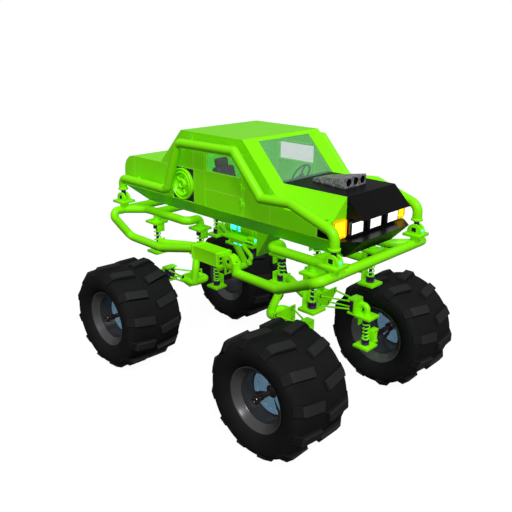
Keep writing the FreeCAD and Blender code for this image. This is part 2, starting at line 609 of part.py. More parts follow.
# body mount: square plate, round-topped block and a neck up to the outer rail's flange
block_foot = n.mount_foot + n.plate_thick
half_round = [(n.mount_half, block_foot)] + [(n.mount_half * math.cos(math.pi * k / 6), block_foot + n.mount_high * math.sin(math.pi * k / 6)) for k in range(1, 6)] + [(-n.mount_half, block_foot)]
mount_block = Part.Face(Part.makePolygon([V(n.mount_x + x, n.rail_y - n.mount_deep / 2, z) for x, z in half_round + half_round[:1]])).extrude(V(0, n.mount_deep, 0))
body_mount = joined([block(n.mount_x - n.plate / 2, n.mount_x + n.plate / 2, n.rail_y - n.plate / 2, n.rail_y + n.plate / 2, n.mount_foot, block_foot),
                     mount_block, rod((n.mount_x, n.rail_y, block_foot + n.mount_high / 2), (n.mount_x, n.rail_y, n.rail_foot), n.neck_wide, 8)])
piece("body_mounts", four(body_mount))

end_pipe = rod((n.mount_x, -n.frame_tip, n.frame_z), (n.mount_x, n.frame_tip, n.frame_z), n.pipe_r)
long_pipe = tube([(n.mount_x, n.rail_y, n.frame_z), (n.mount_x - 260, n.frame_in, n.frame_z), (n.inner_x + 90, n.frame_in, n.frame_z), (n.inner_x, n.frame_in - 90, n.frame_z),
                  (n.inner_x, n.inner_y + 60, n.frame_z), (n.inner_x, n.inner_y, n.frame_z - 60), (n.inner_x, n.inner_y, n.coil_top)], n.pipe_r)
cross_pipe = rod((n.coil_x, -n.frame_in, n.frame_z), (n.coil_x, n.frame_in, n.frame_z), n.pipe_r)
coil_post = rod((n.coil_x, n.coil_y, n.frame_z), (n.coil_x, n.coil_y, n.coil_top), 50)
mount_post = rod((n.mount_x, n.rail_y, n.frame_z), (n.mount_x, n.rail_y, n.mount_foot), n.pipe_r)
front_frame = joined([end_pipe, long_pipe, flip(long_pipe, y=True), cross_pipe, coil_post, flip(coil_post, y=True), mount_post, flip(mount_post, y=True)])
piece("upper_frame", [front_frame, flip(front_frame, x=True)])

# lower rail: an elbow off the upper frame's end, down and in to the side box
bend_out = n.frame_tip + 100
front_low = tube([(n.mount_x, n.frame_tip, n.frame_z), (n.mount_x, bend_out, n.frame_z), (n.mount_x - 75, bend_out + 53, n.frame_z - 28), (1290, n.low_y, 1980), (500, n.low_y, 1990), (500, n.low_y, 2250)], n.pipe_r)
back_low = tube([(-n.mount_x, n.frame_tip, n.frame_z), (-n.mount_x, bend_out - 10, n.frame_z), (-n.mount_x + 14, bend_out + 40, n.frame_z - 88), (-n.mount_x + 108, n.low_y + 25, 2010),
                 (-1960, n.low_y, 1957), (-1200, n.low_y, 1955), (-450, n.low_y, 2130), (-n.box_back + 20, n.low_y, 2140)], n.pipe_r)
side_box = block(-n.box_back, n.box_front, n.box_in, n.box_out, n.box_low, n.box_high)
band = 8
for x in (-n.box_back + 55, n.box_front - 55):
    side_box = side_box.fuse([block(x - 14, x + 14, n.box_in - band, n.box_out + band, n.box_low - band, n.box_high + band)])
disc_x, disc_z = (n.box_front + 500) / 2 + 10, n.box_high - 90
knuckle_disc = rod((disc_x, n.low_y - 62, disc_z), (disc_x, n.low_y + 62, disc_z), 92)
ears = [block(n.box_front - 10, disc_x, n.low_y + side - 19, n.low_y + side + 19, disc_z - 75, disc_z + 75) for side in (-43, 43)] + [block(disc_x, 500, n.low_y - 30, n.low_y + 30, disc_z - 55, disc_z + 55)]
left_low = joined([front_low, back_low, side_box, knuckle_disc] + ears)

# under each pair of coilovers: a strut between their feet, a leg down to a hoop tube, and the link plate on the hoop's ends
strut_from, strut_to = n.inner_x + n.tab_at, n.coil_x - n.tab_at
strut = tube([(strut_from, n.inner_y, n.strut_z), (strut_from + 40, n.inner_y, n.strut_z), (strut_to - 40, n.coil_y, n.strut_z), (strut_to, n.coil_y, n.strut_z)], n.strut_r)
hoop_bend = 40
hoop = tube([(n.link_x - n.link_thick / 2, n.hoop_out, n.hoop_z), (n.hoop_x + hoop_bend, n.hoop_out, n.hoop_z), (n.hoop_x, n.hoop_out - hoop_bend, n.hoop_z),
             (n.hoop_x, n.hoop_in + hoop_bend, n.hoop_z), (n.hoop_x + hoop_bend, n.hoop_in, n.hoop_z), (n.link_x - n.link_thick / 2, n.hoop_in, n.hoop_z)], n.strut_r)
leg = tube([(n.hoop_x, n.hoop_out - 60, n.hoop_z), (n.inner_x + 10, n.inner_y + 50, n.inner_foot - 55), (n.inner_x + 10, n.inner_y + 50, n.inner_foot)], n.strut_r)
plate_at = [(n.link_near, n.link_foot), (n.link_far - n.link_cut, n.link_foot), (n.link_far, n.link_foot + n.link_cut), (n.link_far, n.link_top), (n.link_near, n.link_top)]
link_plate = Part.Face(Part.makePolygon([V(n.link_x - n.link_thick, y, z) for y, z in plate_at + plate_at[:1]])).extrude(V(n.link_thick, 0, 0))
leg = joined([leg, hoop, link_plate])
left_pieces = [left_low, strut, leg, flip(strut, x=True), flip(leg, x=True)]
piece("lower_rail_left", left_pieces)
piece("lower_rail_right", [flip(one, y=True) for one in left_pieces])

# ---- suspension ----

def at_coils():
    return [(n.coil_x, n.coil_y, n.coil_foot, n.coil_top), (n.inner_x, n.inner_y, n.inner_foot, n.coil_top), (n.hub_coil_x, n.hub_coil_y, n.hub_coil_foot, n.hub_coil_top)]


def square(x, y, z):
    h = n.plate / 2
    return block(x - h, x + h, y - h, y + h, z, z + n.plate_thick)


# an upright tab on a plate, on the side away from the wheel (-1) or towards it
def tab(x, y, low, high, way):
    at = x + way * (n.tab_at - n.tab_thick / 2)
    return block(at - n.tab_thick / 2, at + n.tab_thick / 2, y - n.tab_half, y + n.tab_half, low, high)


# plate, damper body, coil, damper body, plate: the heights between them
def coil_spans(foot, top):
    low, high = foot + n.plate_thick, top - n.plate_thick
    return low, low + n.damper_low, high - n.damper_high, high


def damper(x, y, foot, top):
    low, coil_low, coil_high, high = coil_spans(foot, top)
    shape = [(low, n.damper_r), (coil_low, n.damper_r), (coil_low, n.rod_r), (coil_high, n.rod_r), (coil_high, n.damper_r), (high, n.damper_r)]
    return turning((x, y, 0), (0, 0, 1), shape, int(n.coil_sides))


# a coil as a flat-sided bellows: wide at each turn, narrow between turns, open round the damper's rod
def coil(x, y, foot, top):
    low, z0, z1, high = coil_spans(foot, top)
    bands = 2 * int(n.coil_turns)
    outside = [(z0 + (z1 - z0) * i / bands, n.coil_r if i % 2 else n.coil_r - n.coil_wire * 0.6) for i in range(bands + 1)]
    return turning((x, y, 0), (0, 0, 1), outside + [(z1, n.coil_r - n.coil_wire), (z0, n.coil_r - n.coil_wire)], int(n.coil_sides), closed=True)


plates, dampers, coils = [], [], []
for x, y, foot, top in at_coils():
    plates += four(joined([square(x, y, top - n.plate_thick), tab(x, y, top - n.plate_thick - n.tab_high, top - n.plate_thick, -1)]))
    if foot != n.hub_coil_foot:
        ways = (-1, 1) if x == n.inner_x else (-1,)
        plates += four(joined([square(x, y, foot)] + [tab(x, y, foot + n.plate_thick, n.strut_z + n.strut_r, way) for way in ways]))
    dampers += four(damper(x, y, foot, top))
    coils += four(coil(x, y, foot, top))
piece("spring_plates", plates)
piece("dampers", dampers)
piece("coil_springs", coils)

# link rods, cut off flat against the link plate and the carrier's core: (y and height at the plate, y and height at the core) for each
core_x = n.carrier_x + n.carrier_step
core_low, core_high = n.carrier_low + n.link_spread, n.carrier_high - n.link_spread
link_rows = ((n.hoop_in - 5, n.link_high, n.carrier_in + 45, core_high), (n.link_far - 45, n.link_high, n.carrier_out - 65, core_high),
             (n.hoop_in - 5, n.link_low, n.carrier_in + 45, core_low), (n.link_far - n.link_cut - 5, n.link_low, n.carrier_out - 85, core_low))
links = [skinned([ringAt(V(n.link_x, y0, z0), V(1, 0, 0), n.link_r, 6), ringAt(V(core_x, y1, z1), V(1, 0, 0), n.link_r, 6)]) for y0, z0, y1, z1 in link_rows]
piece("link_rods", [one for link in links for one in four(link)])

# wheel carrier: plates round a stepped core, with an elbow down to the wheel coilover
far, wall = n.carrier_x + n.carrier_long, n.carrier_wall
carrier = block(n.carrier_x, far, n.carrier_in, n.carrier_out, n.carrier_low, n.carrier_high)
carrier = carrier.cut(block(n.carrier_x, far - wall, n.carrier_in, n.carrier_out, n.carrier_low + wall, n.carrier_high - wall))
core = block(core_x, far - wall, n.carrier_in + n.carrier_step, n.carrier_out - n.carrier_step, n.carrier_low + wall, n.carrier_high - wall)
elbow = tube([(far - wall / 2, n.hub_coil_y, n.elbow_z), (n.hub_coil_x - 50, n.hub_coil_y, n.elbow_z), (n.hub_coil_x, n.hub_coil_y, n.elbow_z - 50), (n.hub_coil_x, n.hub_coil_y, n.hub_coil_top)], n.elbow_r)
piece("wheel_carriers", four(joined([carrier, core, elbow])))

# axle block beside the wheel coilover: the front ones fork round a steering pin, the rear ones carry the stub axle
web_out = n.hub_coil_y + n.plate / 2
web_in = web_out - n.web_deep
fork_low, fork_high = n.crown_r - n.knuckle_half - n.air_gap, n.crown_r + n.knuckle_half + n.air_gap
arm_thick = fork_low - n.hub_coil_foot
web = block(n.axle_x - n.web_wide / 2, n.axle_x + n.web_wide / 2, web_in, web_out, n.hub_coil_foot, fork_high + arm_thick)
seat_plate = square(n.hub_coil_x, n.hub_coil_y, n.hub_coil_foot)
arms = [block(n.axle_x - n.arm_wide / 2, n.axle_x + n.arm_wide / 2, web_in, n.kingpin_y + n.arm_past, z, z + arm_thick) for z in (n.hub_coil_foot, fork_high)]
pin = rod((n.axle_x, n.kingpin_y, n.hub_coil_foot), (n.axle_x, n.kingpin_y, fork_high + arm_thick), n.kingpin_r, 8)
front_block = joined([seat_plate, web] + arms + [pin])
spindle_end = n.wheel_y + n.web_y
rear_spindle = rod((-n.axle_x, web_in, n.crown_r), (-n.axle_x, spindle_end, n.crown_r), n.spindle_r, 8)
rear_block = joined([flip(seat_plate, x=True), flip(web, x=True), rear_spindle])
piece("axle_blocks", [front_block, flip(front_block, y=True), rear_block, flip(rear_block, y=True)])

barrel = rod((n.axle_x, n.kingpin_y, n.crown_r - n.knuckle_half), (n.axle_x, n.kingpin_y, n.crown_r + n.knuckle_half), n.knuckle_r)
front_spindle = rod((n.axle_x, n.kingpin_y, n.crown_r), (n.axle_x, spindle_end, n.crown_r), n.spindle_r, 8)
knuckle = joined([barrel, front_spindle]).cut(bore((n.axle_x, n.kingpin_y, fork_low), (n.axle_x, n.kingpin_y, fork_high), n.kingpin_r, 8))
piece("knuckle_left", [knuckle.Solids[0]])
piece("knuckle_right", [flip(knuckle.Solids[0], y=True)])

# ---- underbody ----

wedge = newBody("belly_wedge")
slab(wedge, "wedge_side", "XZ_Plane", [[("sz.wedge_x", "sz.wedge_z"), ("sz.wedge_tip", "sz.belly_z"), ("sz.wedge_x", "sz.belly_z")]], "-sz.wedge_half", "sz.wedge_half")
keep(wedge, "belly_wedge")

drum = rod((-n.drum_back, 0, n.drum_z), (n.drum_front, 0, n.drum_z), n.drum_r)
saddle = block(-n.drum_back + 60, n.drum_front - 60, -130, 130, n.drum_z, n.belly_z)
collar = rod((-n.drum_back + 130, 0, n.drum_z), (-n.drum_back + 160, 0, n.drum_z), n.drum_r + 18)
sump_plate = block(-n.drum_back - 40, n.drum_front + 30, -215, 215, n.drum_z - n.drum_r - 26, n.drum_z - n.drum_r + 4)
sump = block(-n.drum_back + 110, n.drum_front - 60, -150, 150, n.drum_z - n.drum_r - 116, n.drum_z - n.drum_r - 26)
outlet = tube([(-150, -120, n.drum_z - n.drum_r - 90), (-90, -190, n.drum_z - n.drum_r - 100), (110, -215, 1960), (70, -235, 1885)], 34)
ball = turning((70, -235, 1870), (0, 0, 1), [(-50, 20), (-26, 46), (26, 46), (50, 20)], 10)
piece("power_unit", [joined([drum, saddle, collar, sump_plate, sump, outlet, ball])])

# ---- wheels ----

sides = int(n.wheel_sides)


# carcass: a hollow ring open at the bead seat
def carcass():
    t = n.tyre_skin
    outside = [(n.bead_y, n.seat_r), (n.wall_y, n.wall_r), (n.tread_y, n.tread_r)]
    inside = [(n.tread_y - t, n.tread_r - t), (n.bead_y - t, n.seat_r)]
    loop = outside + [(-y, r) for y, r in reversed(outside)] + [(-y, r) for y, r in reversed(inside)] + inside
    return turning((0, 0, 0), (0, 1, 0), loop, sides, closed=True)


# one lug: its side view, as wide as the lug, turned a little from the axle's direction
def lug(side, turn):
    side_view = [(n.lug_inset, n.tread_r - 40), (n.lug_inset, n.crown_r), (n.tread_y, n.crown_r), (n.tyre_half, n.shoulder_r), (n.tread_y, n.tread_r - 90)]
    body = Part.Face(Part.makePolygon([V(-n.lug_width / 2, y, r) for y, r in side_view + side_view[:1]])).extrude(V(n.lug_width, 0, 0))
    middle = (n.lug_inset + n.tread_y) / 2
    body.rotate(V(0, middle, 0), V(0, 0, 1), n.lug_slant)
    if side < 0:
        body = flip(body, y=True)
    body.rotate(V(0, 0, 0), V(0, 1, 0), turn)
    return body


step = 360 / n.lug_rows
lugs = [lug(1, 180 + k * step) for k in range(int(n.lug_rows))] + [lug(-1, 180 + (k + 0.5) * step) for k in range(int(n.lug_rows))]
tyre = carcass().fuse(lugs).Solids[0]


# rim: flanges and a deep barrel both ways from a centre plate, hub sleeve, and the ball and cup outside
def rim():
    wall = [(n.web_y + n.web_thick, n.barrel_r), (n.cone_y, n.barrel_r), (n.rim_out, n.seat_r - 4), (n.rim_out, n.lip_r), (n.bead_y, n.seat_r),
            (-n.bead_y, n.seat_r), (-n.rim_back, n.lip_r), (-n.rim_back, n.seat_r - 4), (-n.cone_y, n.barrel_r), (n.web_y, n.barrel_r)]
    shell = turning((0, 0, 0), (0, 1, 0), wall + [(n.web_y, n.hub_r - 10), (n.web_y + n.web_thick, n.hub_r - 10)], sides, closed=True)
    hub = turning((0, 0, 0), (0, 1, 0), [(-n.hub_back, n.hub_r), (n.web_y + n.web_thick + 30, n.hub_r), (n.web_y + n.web_thick + 40, n.neck_r), (n.hub_tip - 75, n.neck_r),
                                         (n.hub_tip - 55, n.cup_r), (n.hub_tip - 20, n.cup_r), (n.hub_tip, n.cup_r * 0.6)], 8)
    hub = hub.cut(bore((0, -n.hub_back - 1, 0), (0, n.web_y + n.air_gap, 0), n.spindle_r, 8))
    return joined([shell, hub])


rim_shape = rim()
for where, sx, sy in (("front_left", 1, 1), ("front_right", 1, -1), ("rear_left", -1, 1), ("rear_right", -1, -1)):
    wheel = piece("tyre_" + where, [tyre.copy()])
    wheel.Placement = FreeCAD.Placement(V(sx * n.axle_x, sy * n.wheel_y, n.crown_r), FreeCAD.Rotation())
    centre = piece("rim_" + where, [rim_shape.copy()])
    centre.Placement = FreeCAD.Placement(wheel.Placement.Base, FreeCAD.Rotation(V(0, 0, 1), 0 if sy > 0 else 180))

# ---- check and write ----

doc.recompute()
for obj in doc.Objects:
    if "Invalid" in obj.State or "Error" in obj.State:
        raise RuntimeError(f"{obj.Label} did not compute: {obj.State}")
os.makedirs("parts", exist_ok=True)
for obj in nodes:
    if obj.Shape.isNull() or not obj.Shape.isValid():
        raise RuntimeError(f"{obj.Label} has no valid shape")
    if any(solid.Volume <= 0 for solid in obj.Shape.Solids):
        raise RuntimeError(f"{obj.Label} has a solid inside out")
    obj.Shape.exportStep(f"parts/{obj.Label}.step")
print(len(nodes), "pieces")
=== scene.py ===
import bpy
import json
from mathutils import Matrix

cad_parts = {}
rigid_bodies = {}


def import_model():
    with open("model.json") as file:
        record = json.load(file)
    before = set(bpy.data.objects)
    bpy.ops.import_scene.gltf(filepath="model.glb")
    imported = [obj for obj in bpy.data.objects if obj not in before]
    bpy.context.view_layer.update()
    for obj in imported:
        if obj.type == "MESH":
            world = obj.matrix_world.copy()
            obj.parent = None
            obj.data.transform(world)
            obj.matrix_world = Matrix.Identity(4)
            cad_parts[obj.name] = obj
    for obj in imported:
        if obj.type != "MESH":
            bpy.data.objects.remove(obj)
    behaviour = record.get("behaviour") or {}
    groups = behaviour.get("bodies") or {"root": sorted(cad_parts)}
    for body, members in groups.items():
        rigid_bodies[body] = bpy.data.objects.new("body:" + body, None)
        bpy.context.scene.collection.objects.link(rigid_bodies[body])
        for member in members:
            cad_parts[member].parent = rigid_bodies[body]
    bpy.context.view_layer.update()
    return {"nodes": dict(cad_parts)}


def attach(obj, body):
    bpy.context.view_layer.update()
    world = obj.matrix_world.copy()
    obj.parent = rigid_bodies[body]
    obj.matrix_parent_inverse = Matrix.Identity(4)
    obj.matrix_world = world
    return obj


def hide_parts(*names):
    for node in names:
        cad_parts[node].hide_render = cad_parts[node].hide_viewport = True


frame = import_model()

import json
import math

import bpy
from mathutils import Matrix, Vector

forward, left, up = (1, 0, 0), (0, 1, 0), (0, 0, 1)
print("frame loaded:", len(frame["nodes"]), "nodes")


def selectOnly(obj):
    if bpy.context.mode != "OBJECT":
        bpy.ops.object.mode_set(mode="OBJECT")
    bpy.ops.object.select_all(action="DESELECT")
    obj.hide_viewport = False
    obj.select_set(True)
    bpy.context.view_layer.objects.active = obj


def startEdit(obj, chosen=True):
    selectOnly(obj)
    bpy.ops.object.mode_set(mode="EDIT")
    bpy.ops.mesh.select_mode(type="VERT")
    bpy.ops.mesh.select_all(action="SELECT" if chosen else "DESELECT")


def endEdit():
    bpy.ops.object.mode_set(mode="OBJECT")


def pick(obj, kind, test):
    # edit mode with only what passes the test selected
    # the test gets a face's centre and normal, an edge's two ends or a vertex's place
    startEdit(obj, False)
    endEdit()
    points = obj.data.vertices
    if kind == "VERT":
        for point in points:
            point.select = test(point.co)
    elif kind == "EDGE":
        for edge in obj.data.edges:
            edge.select = test(*(points[index].co for index in edge.vertices))
    else:
        for face in obj.data.polygons:
            face.select = test(face.center, face.normal)
            for index in face.vertices if face.select else ():
                points[index].select = True
    bpy.ops.object.mode_set(mode="EDIT")
    bpy.ops.mesh.select_mode(type=kind)


def extrude(move):
    bpy.ops.mesh.extrude_region_move(TRANSFORM_OT_translate={"value": move})


def stretch(centre, x, y, z):
    bpy.ops.transform.resize(value=(x, y, z), center_override=centre)


def bevelEdges(offset, segments=1):
    bpy.ops.mesh.bevel(offset=offset, segments=segments, affect="EDGES")


def applyPlace(obj):
    selectOnly(obj)
    bpy.ops.object.transform_apply(location=True, rotation=True, scale=True)
    return obj


def addModifier(obj, kind, **settings):
    selectOnly(obj)
    made = obj.modifiers.new(kind.title(), kind)
    for name, value in settings.items():
        setattr(made, name, value)
    bpy.ops.object.modifier_apply(modifier=made.name)
    return obj


def easeEdges(obj, width, segments=1, angle=30):
    return addModifier(obj, "BEVEL", width=width, segments=segments, limit_method="ANGLE",
                       angle_limit=math.radians(angle))


def cutAway(obj, cutter):
    addModifier(obj, "BOOLEAN", object=cutter, operation="DIFFERENCE", solver="EXACT")
    bpy.data.objects.remove(cutter)


def joinAll(objs):
    bpy.ops.object.select_all(action="DESELECT")
    for obj in objs:
        obj.select_set(True)
    bpy.context.view_layer.objects.active = objs[0]
    if len(objs) > 1:
        bpy.ops.object.join()
    return objs[0]


def copyAt(obj, matrix):
    copy = obj.copy()
    copy.data = obj.data.copy()
    bpy.context.scene.collection.objects.link(copy)
    copy.data.transform(matrix)
    return copy


def turnBy(degrees, axis, pivot=(0, 0, 0)):
    away = Matrix.Translation(-Vector(pivot))
    return Matrix.Translation(pivot) @ Matrix.Rotation(math.radians(degrees), 4, axis) @ away


def mirrored(obj, axes):
    applyPlace(obj)
    for axis in axes:
        flags = [axis == one for one in "XYZ"]
        addModifier(obj, "MIRROR", use_axis=flags, use_clip=False, use_mirror_merge=False)
    return obj


def closeMesh(obj):
    startEdit(obj)
    bpy.ops.mesh.remove_doubles(threshold=0.0001)
    bpy.ops.mesh.fill_holes(sides=0)
    bpy.ops.mesh.normals_make_consistent(inside=False)
    endEdit()
    return obj


def paint(obj, material):
    obj.data.materials.clear()
    obj.data.materials.append(material)
    return obj


def paintAll(objs, material):
    return [paint(obj, material) for obj in objs]


def placePiece(obj, name, material=None, body="chassis", smooth=32):
    applyPlace(obj)
    startEdit(obj)
    bpy.ops.mesh.remove_doubles(threshold=0.00002)
    bpy.ops.mesh.normals_make_consistent(inside=False)
    endEdit()
    bpy.ops.object.shade_smooth_by_angle(angle=math.radians(smooth))
    obj.name = name
    if material is not None:
        paint(obj, material)
    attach(obj, body)


def finishPiece(parts, name, material=None, body="chassis", smooth=32, nodes=None, mirror=""):
    # parts with no paint are lime; the piece stands for the node of its own name unless others are given
    parts = [part if part.data.materials else paint(part, frameLime) for part in parts]
    obj = mirrored(joinAll(parts), mirror)
    placePiece(obj, name + "_look", material, body, smooth)
    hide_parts(*(nodes or [name]))
    return obj


# boxes, turned pieces and bent tubes, which come up again and again

def plainBox(low, high):
    low, high = Vector(low), Vector(high)
    bpy.ops.object.select_all(action="DESELECT")
    bpy.ops.mesh.primitive_cube_add(size=1, location=(low + high) / 2, scale=high - low)
    return applyPlace(bpy.context.object)


def bevelledBox(low, high, bevel=0.005, segments=2):
    obj = plainBox(low, high)
    startEdit(obj)
    bevelEdges(bevel, segments)
    endEdit()
    return obj


def block(centre, half, bevel=0.005, segments=2):
    low, high = ([c + side * h for c, h in zip(centre, half)] for side in (-1, 1))
    return bevelledBox(low, high, bevel, segments)


def startRing(at, way, radius, sides):
    bpy.ops.object.select_all(action="DESELECT")
    turn = Vector(way).to_track_quat("Z", "Y").to_euler()
    bpy.ops.mesh.primitive_circle_add(vertices=sides, radius=radius, location=at, rotation=turn)
    obj = bpy.context.object
    startEdit(obj)
    return obj


def turnedPiece(profile, at=(0, 0, 0), way=up, sides=48, loop=False):
    # a ring drawn out and scaled along the profile, which is (distance along the axis, radius)
    at, way = Vector(at), Vector(way).normalized()
    along, radius = profile[0]
    obj = startRing(at + way * along, way, radius, sides)
    for nextAlong, nextRadius in profile[1:] + (profile[:1] if loop else []):
        extrude(way * (nextAlong - along))
        grow = nextRadius / radius
        if abs(grow - 1) > 1e-6:
            stretch(at + way * nextAlong, grow, grow, grow)
        along, radius = nextAlong, nextRadius
    endEdit()
    return closeMesh(applyPlace(obj))


def bothWays(half):
    # a profile given from one end to its middle, mirrored to the other end
    return half + [(-along, radius) for along, radius in reversed(half) if along]


def collar(at, way, radius=0.068, long=0.014, sides=32, drop=0.005, ease=0.002):
    return turnedPiece(bothWays([(-long / 2, radius - drop), (ease - long / 2, radius)]), at, way, sides)


def bentTube(path, radius, bends=(), sides=28, seam=0.0):
    # a ring drawn along the path; a bend of 0 is a mitre, any other is the elbow's radius
    points = [Vector(point) for point in path]
    ways = [(b - a).normalized() for a, b in zip(points, points[1:])]
    bends = list(bends) + [0] * (len(ways) - 1 - len(bends))
    obj = startRing(points[0], ways[0], radius, sides)
    here = points[0]
    for i, way in enumerate(ways):
        corner = points[i + 1]
        cutAt, cutWay, bend = corner, way, 0
        if i + 1 < len(ways):
            after = ways[i + 1]
            angle = way.angle(after)
            bend = bends[i]
            if bend:
                cutAt = corner - way * (bend * math.tan(angle / 2))
            else:
                cutWay = (way + after).normalized()
        extrude(way * ((cutAt - here).dot(way) + radius * 3))
        bpy.ops.mesh.select_more()
        bpy.ops.mesh.bisect(plane_co=cutAt, plane_no=cutWay, use_fill=False, clear_outer=True, clear_inner=False)
        here = cutAt
        if bend:
            grooveRing(cutAt, way, seam)
            side = (after - way * way.dot(after)).normalized()
            bpy.ops.mesh.spin(steps=max(3, round(math.degrees(angle) / 9)), angle=angle, center=cutAt + side * bend,
                              axis=after.cross(way).normalized())
            here = corner + after * (bend * math.tan(angle / 2))
            grooveRing(here, after, seam)
    endEdit()
    return closeMesh(applyPlace(obj))


def grooveRing(at, way, depth):
    # a fine groove round the tube where two lengths meet
    for step, grow in ((0, 1 - depth), (0.004, 1), (0, 1 / (1 - depth))) if depth else ():
        extrude(way * step)
        stretch(at + way * step, grow, grow, grow)


def rgb(red, green, blue):
    def linear(value):
        value /= 255
        return value / 12.92 if value <= 0.04045 else ((value + 0.055) / 1.055) ** 2.4
    return (linear(red), linear(green), linear(blue), 1)


class Wire:
    # a node's output, for maths in plain Python
    def __init__(self, finish, socket):
        self.finish, self.socket = finish, socket

    def maths(operation):
        return lambda self, *others: self.finish.maths(operation, self, *others)

    __add__ = __radd__ = maths("ADD")
    __sub__, __mul__ = maths("SUBTRACT"), maths("MULTIPLY")
    __lt__, __gt__, __abs__ = maths("LESS_THAN"), maths("GREATER_THAN"), maths("ABSOLUTE")


class Finish:
    # one material, or the world, and its nodes
    def __init__(self, name, kind="materials"):
        self.owner = getattr(bpy.data, kind).new(name)
        self.owner.use_nodes = True
        self.tree = self.owner.node_tree
        self.tree.nodes.clear()

    def node(self, kind, values=None, out=0, **settings):
        made = self.tree.nodes.new("ShaderNode" + kind)
        for name, value in settings.items():
            setattr(made, name, value)
        for name, value in (values or {}).items():
            if isinstance(value, Wire):
                self.tree.links.new(value.socket, made.inputs[name])
            else:
                made.inputs[name].default_value = value
        return Wire(self, made.outputs[out]) if len(made.outputs) else None

    def maths(self, operation, *values):
        return self.node("Math", dict(enumerate(values)), operation=operation)

    def place(self):
        # object coordinates, one wire for each axis
        coordinates = self.node("TexCoord", out="Object")
        return [self.node("SeparateXYZ", {0: coordinates}, axis) for axis in "XYZ"]

    def ray(self, kind):
        return self.node("LightPath", out="Is " + kind + " Ray")

    def noise(self, scale, detail=3.0, roughness=0.5):
        coordinates = self.node("TexCoord", out="Object")
        return self.node("TexNoise", {"Vector": coordinates, "Scale": scale, "Detail": detail, "Roughness": roughness})

    def mix(self, factor, first, second):
        return self.node("Mix", {0: factor, 6: first, 7: second}, 2, data_type="RGBA")

    def ramp(self, factor, *stops):
        wire = self.node("ValToRGB", {0: factor})
        elements = wire.socket.node.color_ramp.elements
        while len(elements) < len(stops):
            elements.new(0.5)
        for element, (place, colour) in zip(elements, stops):
            element.position, element.color = place, colour
        return wire

    def bump(self, height, strength, distance=0.002):
        return self.node("Bump", {"Strength": strength, "Distance": distance, "Height": height})

    def surface(self, **values):
        values = {name.replace("_", " "): value for name, value in values.items()}
        return self.output("Material", self.node("BsdfPrincipled", values))

    def output(self, kind, shader):
        self.node("Output" + kind, {"Surface": shader})
        return self.owner

    def glow(self, reach, inner, outer, edge, strength=1.0, scale=30.0):
        # a lamp that fades from inner to outer as reach passes the two places in edge
        colour = self.ramp(reach, (edge[0], inner), (edge[1], outer))
        return self.surface(Base_Color=colour, Roughness=self.noise(scale) * 0.1 + 0.2, Emission_Color=colour,
                            Emission_Strength=strength)


palette = {
    "lime": (132, 240, 6), "limeDeep": (124, 230, 4), "limeSeamHighlight": (176, 255, 80),
    "black": (3, 3, 4), "blackWorn": (10, 10, 11),
    "rubber": (17, 17, 18), "rubberDust": (24, 24, 25), "lugTopHighlight": (36, 36, 37), "shaftDark": (52, 40, 36),
    "chrome": (118, 118, 120), "barrel": (66, 65, 66), "shaft": (42, 28, 25),
    "sector": (122, 160, 184), "sectorDark": (92, 128, 152),
    "purple": (66, 2, 92), "recess": (22, 6, 52),
    "maroon": (104, 22, 34), "dash": (44, 44, 50), "gauge": (20, 20, 24),
    "glassTint": (140, 178, 166), "cyan": (10, 235, 255), "cyanPale": (90, 250, 255),
    "lampWhite": (255, 255, 255), "lampEdge": (92, 90, 92), "amber": (255, 240, 20), "amberEdge": (240, 120, 0),
    "ball": (70, 232, 190), "ballEdge": (110, 236, 60),
}
palette = {name: rgb(*parts) for name, parts in palette.items()}
# each line's place, start and end; all of it lies on the flat sides, further out than y
panelLines = {
    "y": 0.77, "half": 0.004, "corner": (1.8, 2.79, 3.026),
    "uprights": [(-1.985, 2.78, 3.28), (-0.53, 2.78, 3.8), (0.515, 2.78, 3.12), (1.0, 2.78, 3.28), (1.78, 2.78, 3.03)],
    "levels": [(3.285, -1.3, -0.3), (3.62, -0.95, 0.55)], "doorLevels": [(3.04, -0.3, 0.5)],
}


def limePaint(name, uprights=(), levels=(), corner=None):
    # gloss lime, with fine pale lines where panels meet, painted highlights along the seams
    finish = Finish(name)
    colour = finish.mix(finish.noise(1.7), palette["lime"], palette["limeDeep"])
    alongX, alongY, alongZ = finish.place()
    beside = abs(alongY) > panelLines["y"]
    mask = 0
    for across, along, lines in ((alongX, alongZ, uprights), (alongZ, alongX, levels)):
        for at, low, high in lines:
            mask = mask + (abs(across - at) < panelLines["half"]) * (along > low) * (along < high)
    if mask:
        # the pale seam lines are a painted highlight
        colour = finish.mix(mask * beside, colour, palette["limeSeamHighlight"])
    if corner:
        start, low, high = corner
        black = (alongX > start) * (alongZ > low) * (alongZ < high) * beside
        colour = finish.mix(black, colour, palette["black"])
    return finish.surface(Base_Color=colour, Roughness=finish.noise(6.0) * 0.08 + 0.28, Specular_IOR_Level=0.16,
                          Normal=finish.bump(finish.noise(220.0), 0.03))


def plainFinish(name, first, second, roughness=0.4, metallic=0.0, coat=0.0, scale=9.0, bump=0.05, bumpScale=120.0,
                **more):
    finish = Finish(name)
    colour = finish.mix(finish.noise(scale), palette[first], palette[second])
    normal = finish.bump(finish.noise(bumpScale), bump)
    return finish.surface(Base_Color=colour, Roughness=finish.noise(scale * 2) * 0.1 + (roughness - 0.05),
                          Metallic=metallic, Coat_Weight=coat, Normal=normal, **more)


def noseFinish():
    # black across the front, lime past the outer lamps
    finish = Finish("nosePaint")
    black = finish.mix(finish.noise(9.0), palette["black"], palette["blackWorn"])
    colour = finish.mix(abs(finish.place()[1]) > 0.715, black, palette["lime"])
    return finish.surface(Base_Color=colour, Roughness=finish.noise(18.0) * 0.1 + 0.37, Specular_IOR_Level=0.15)


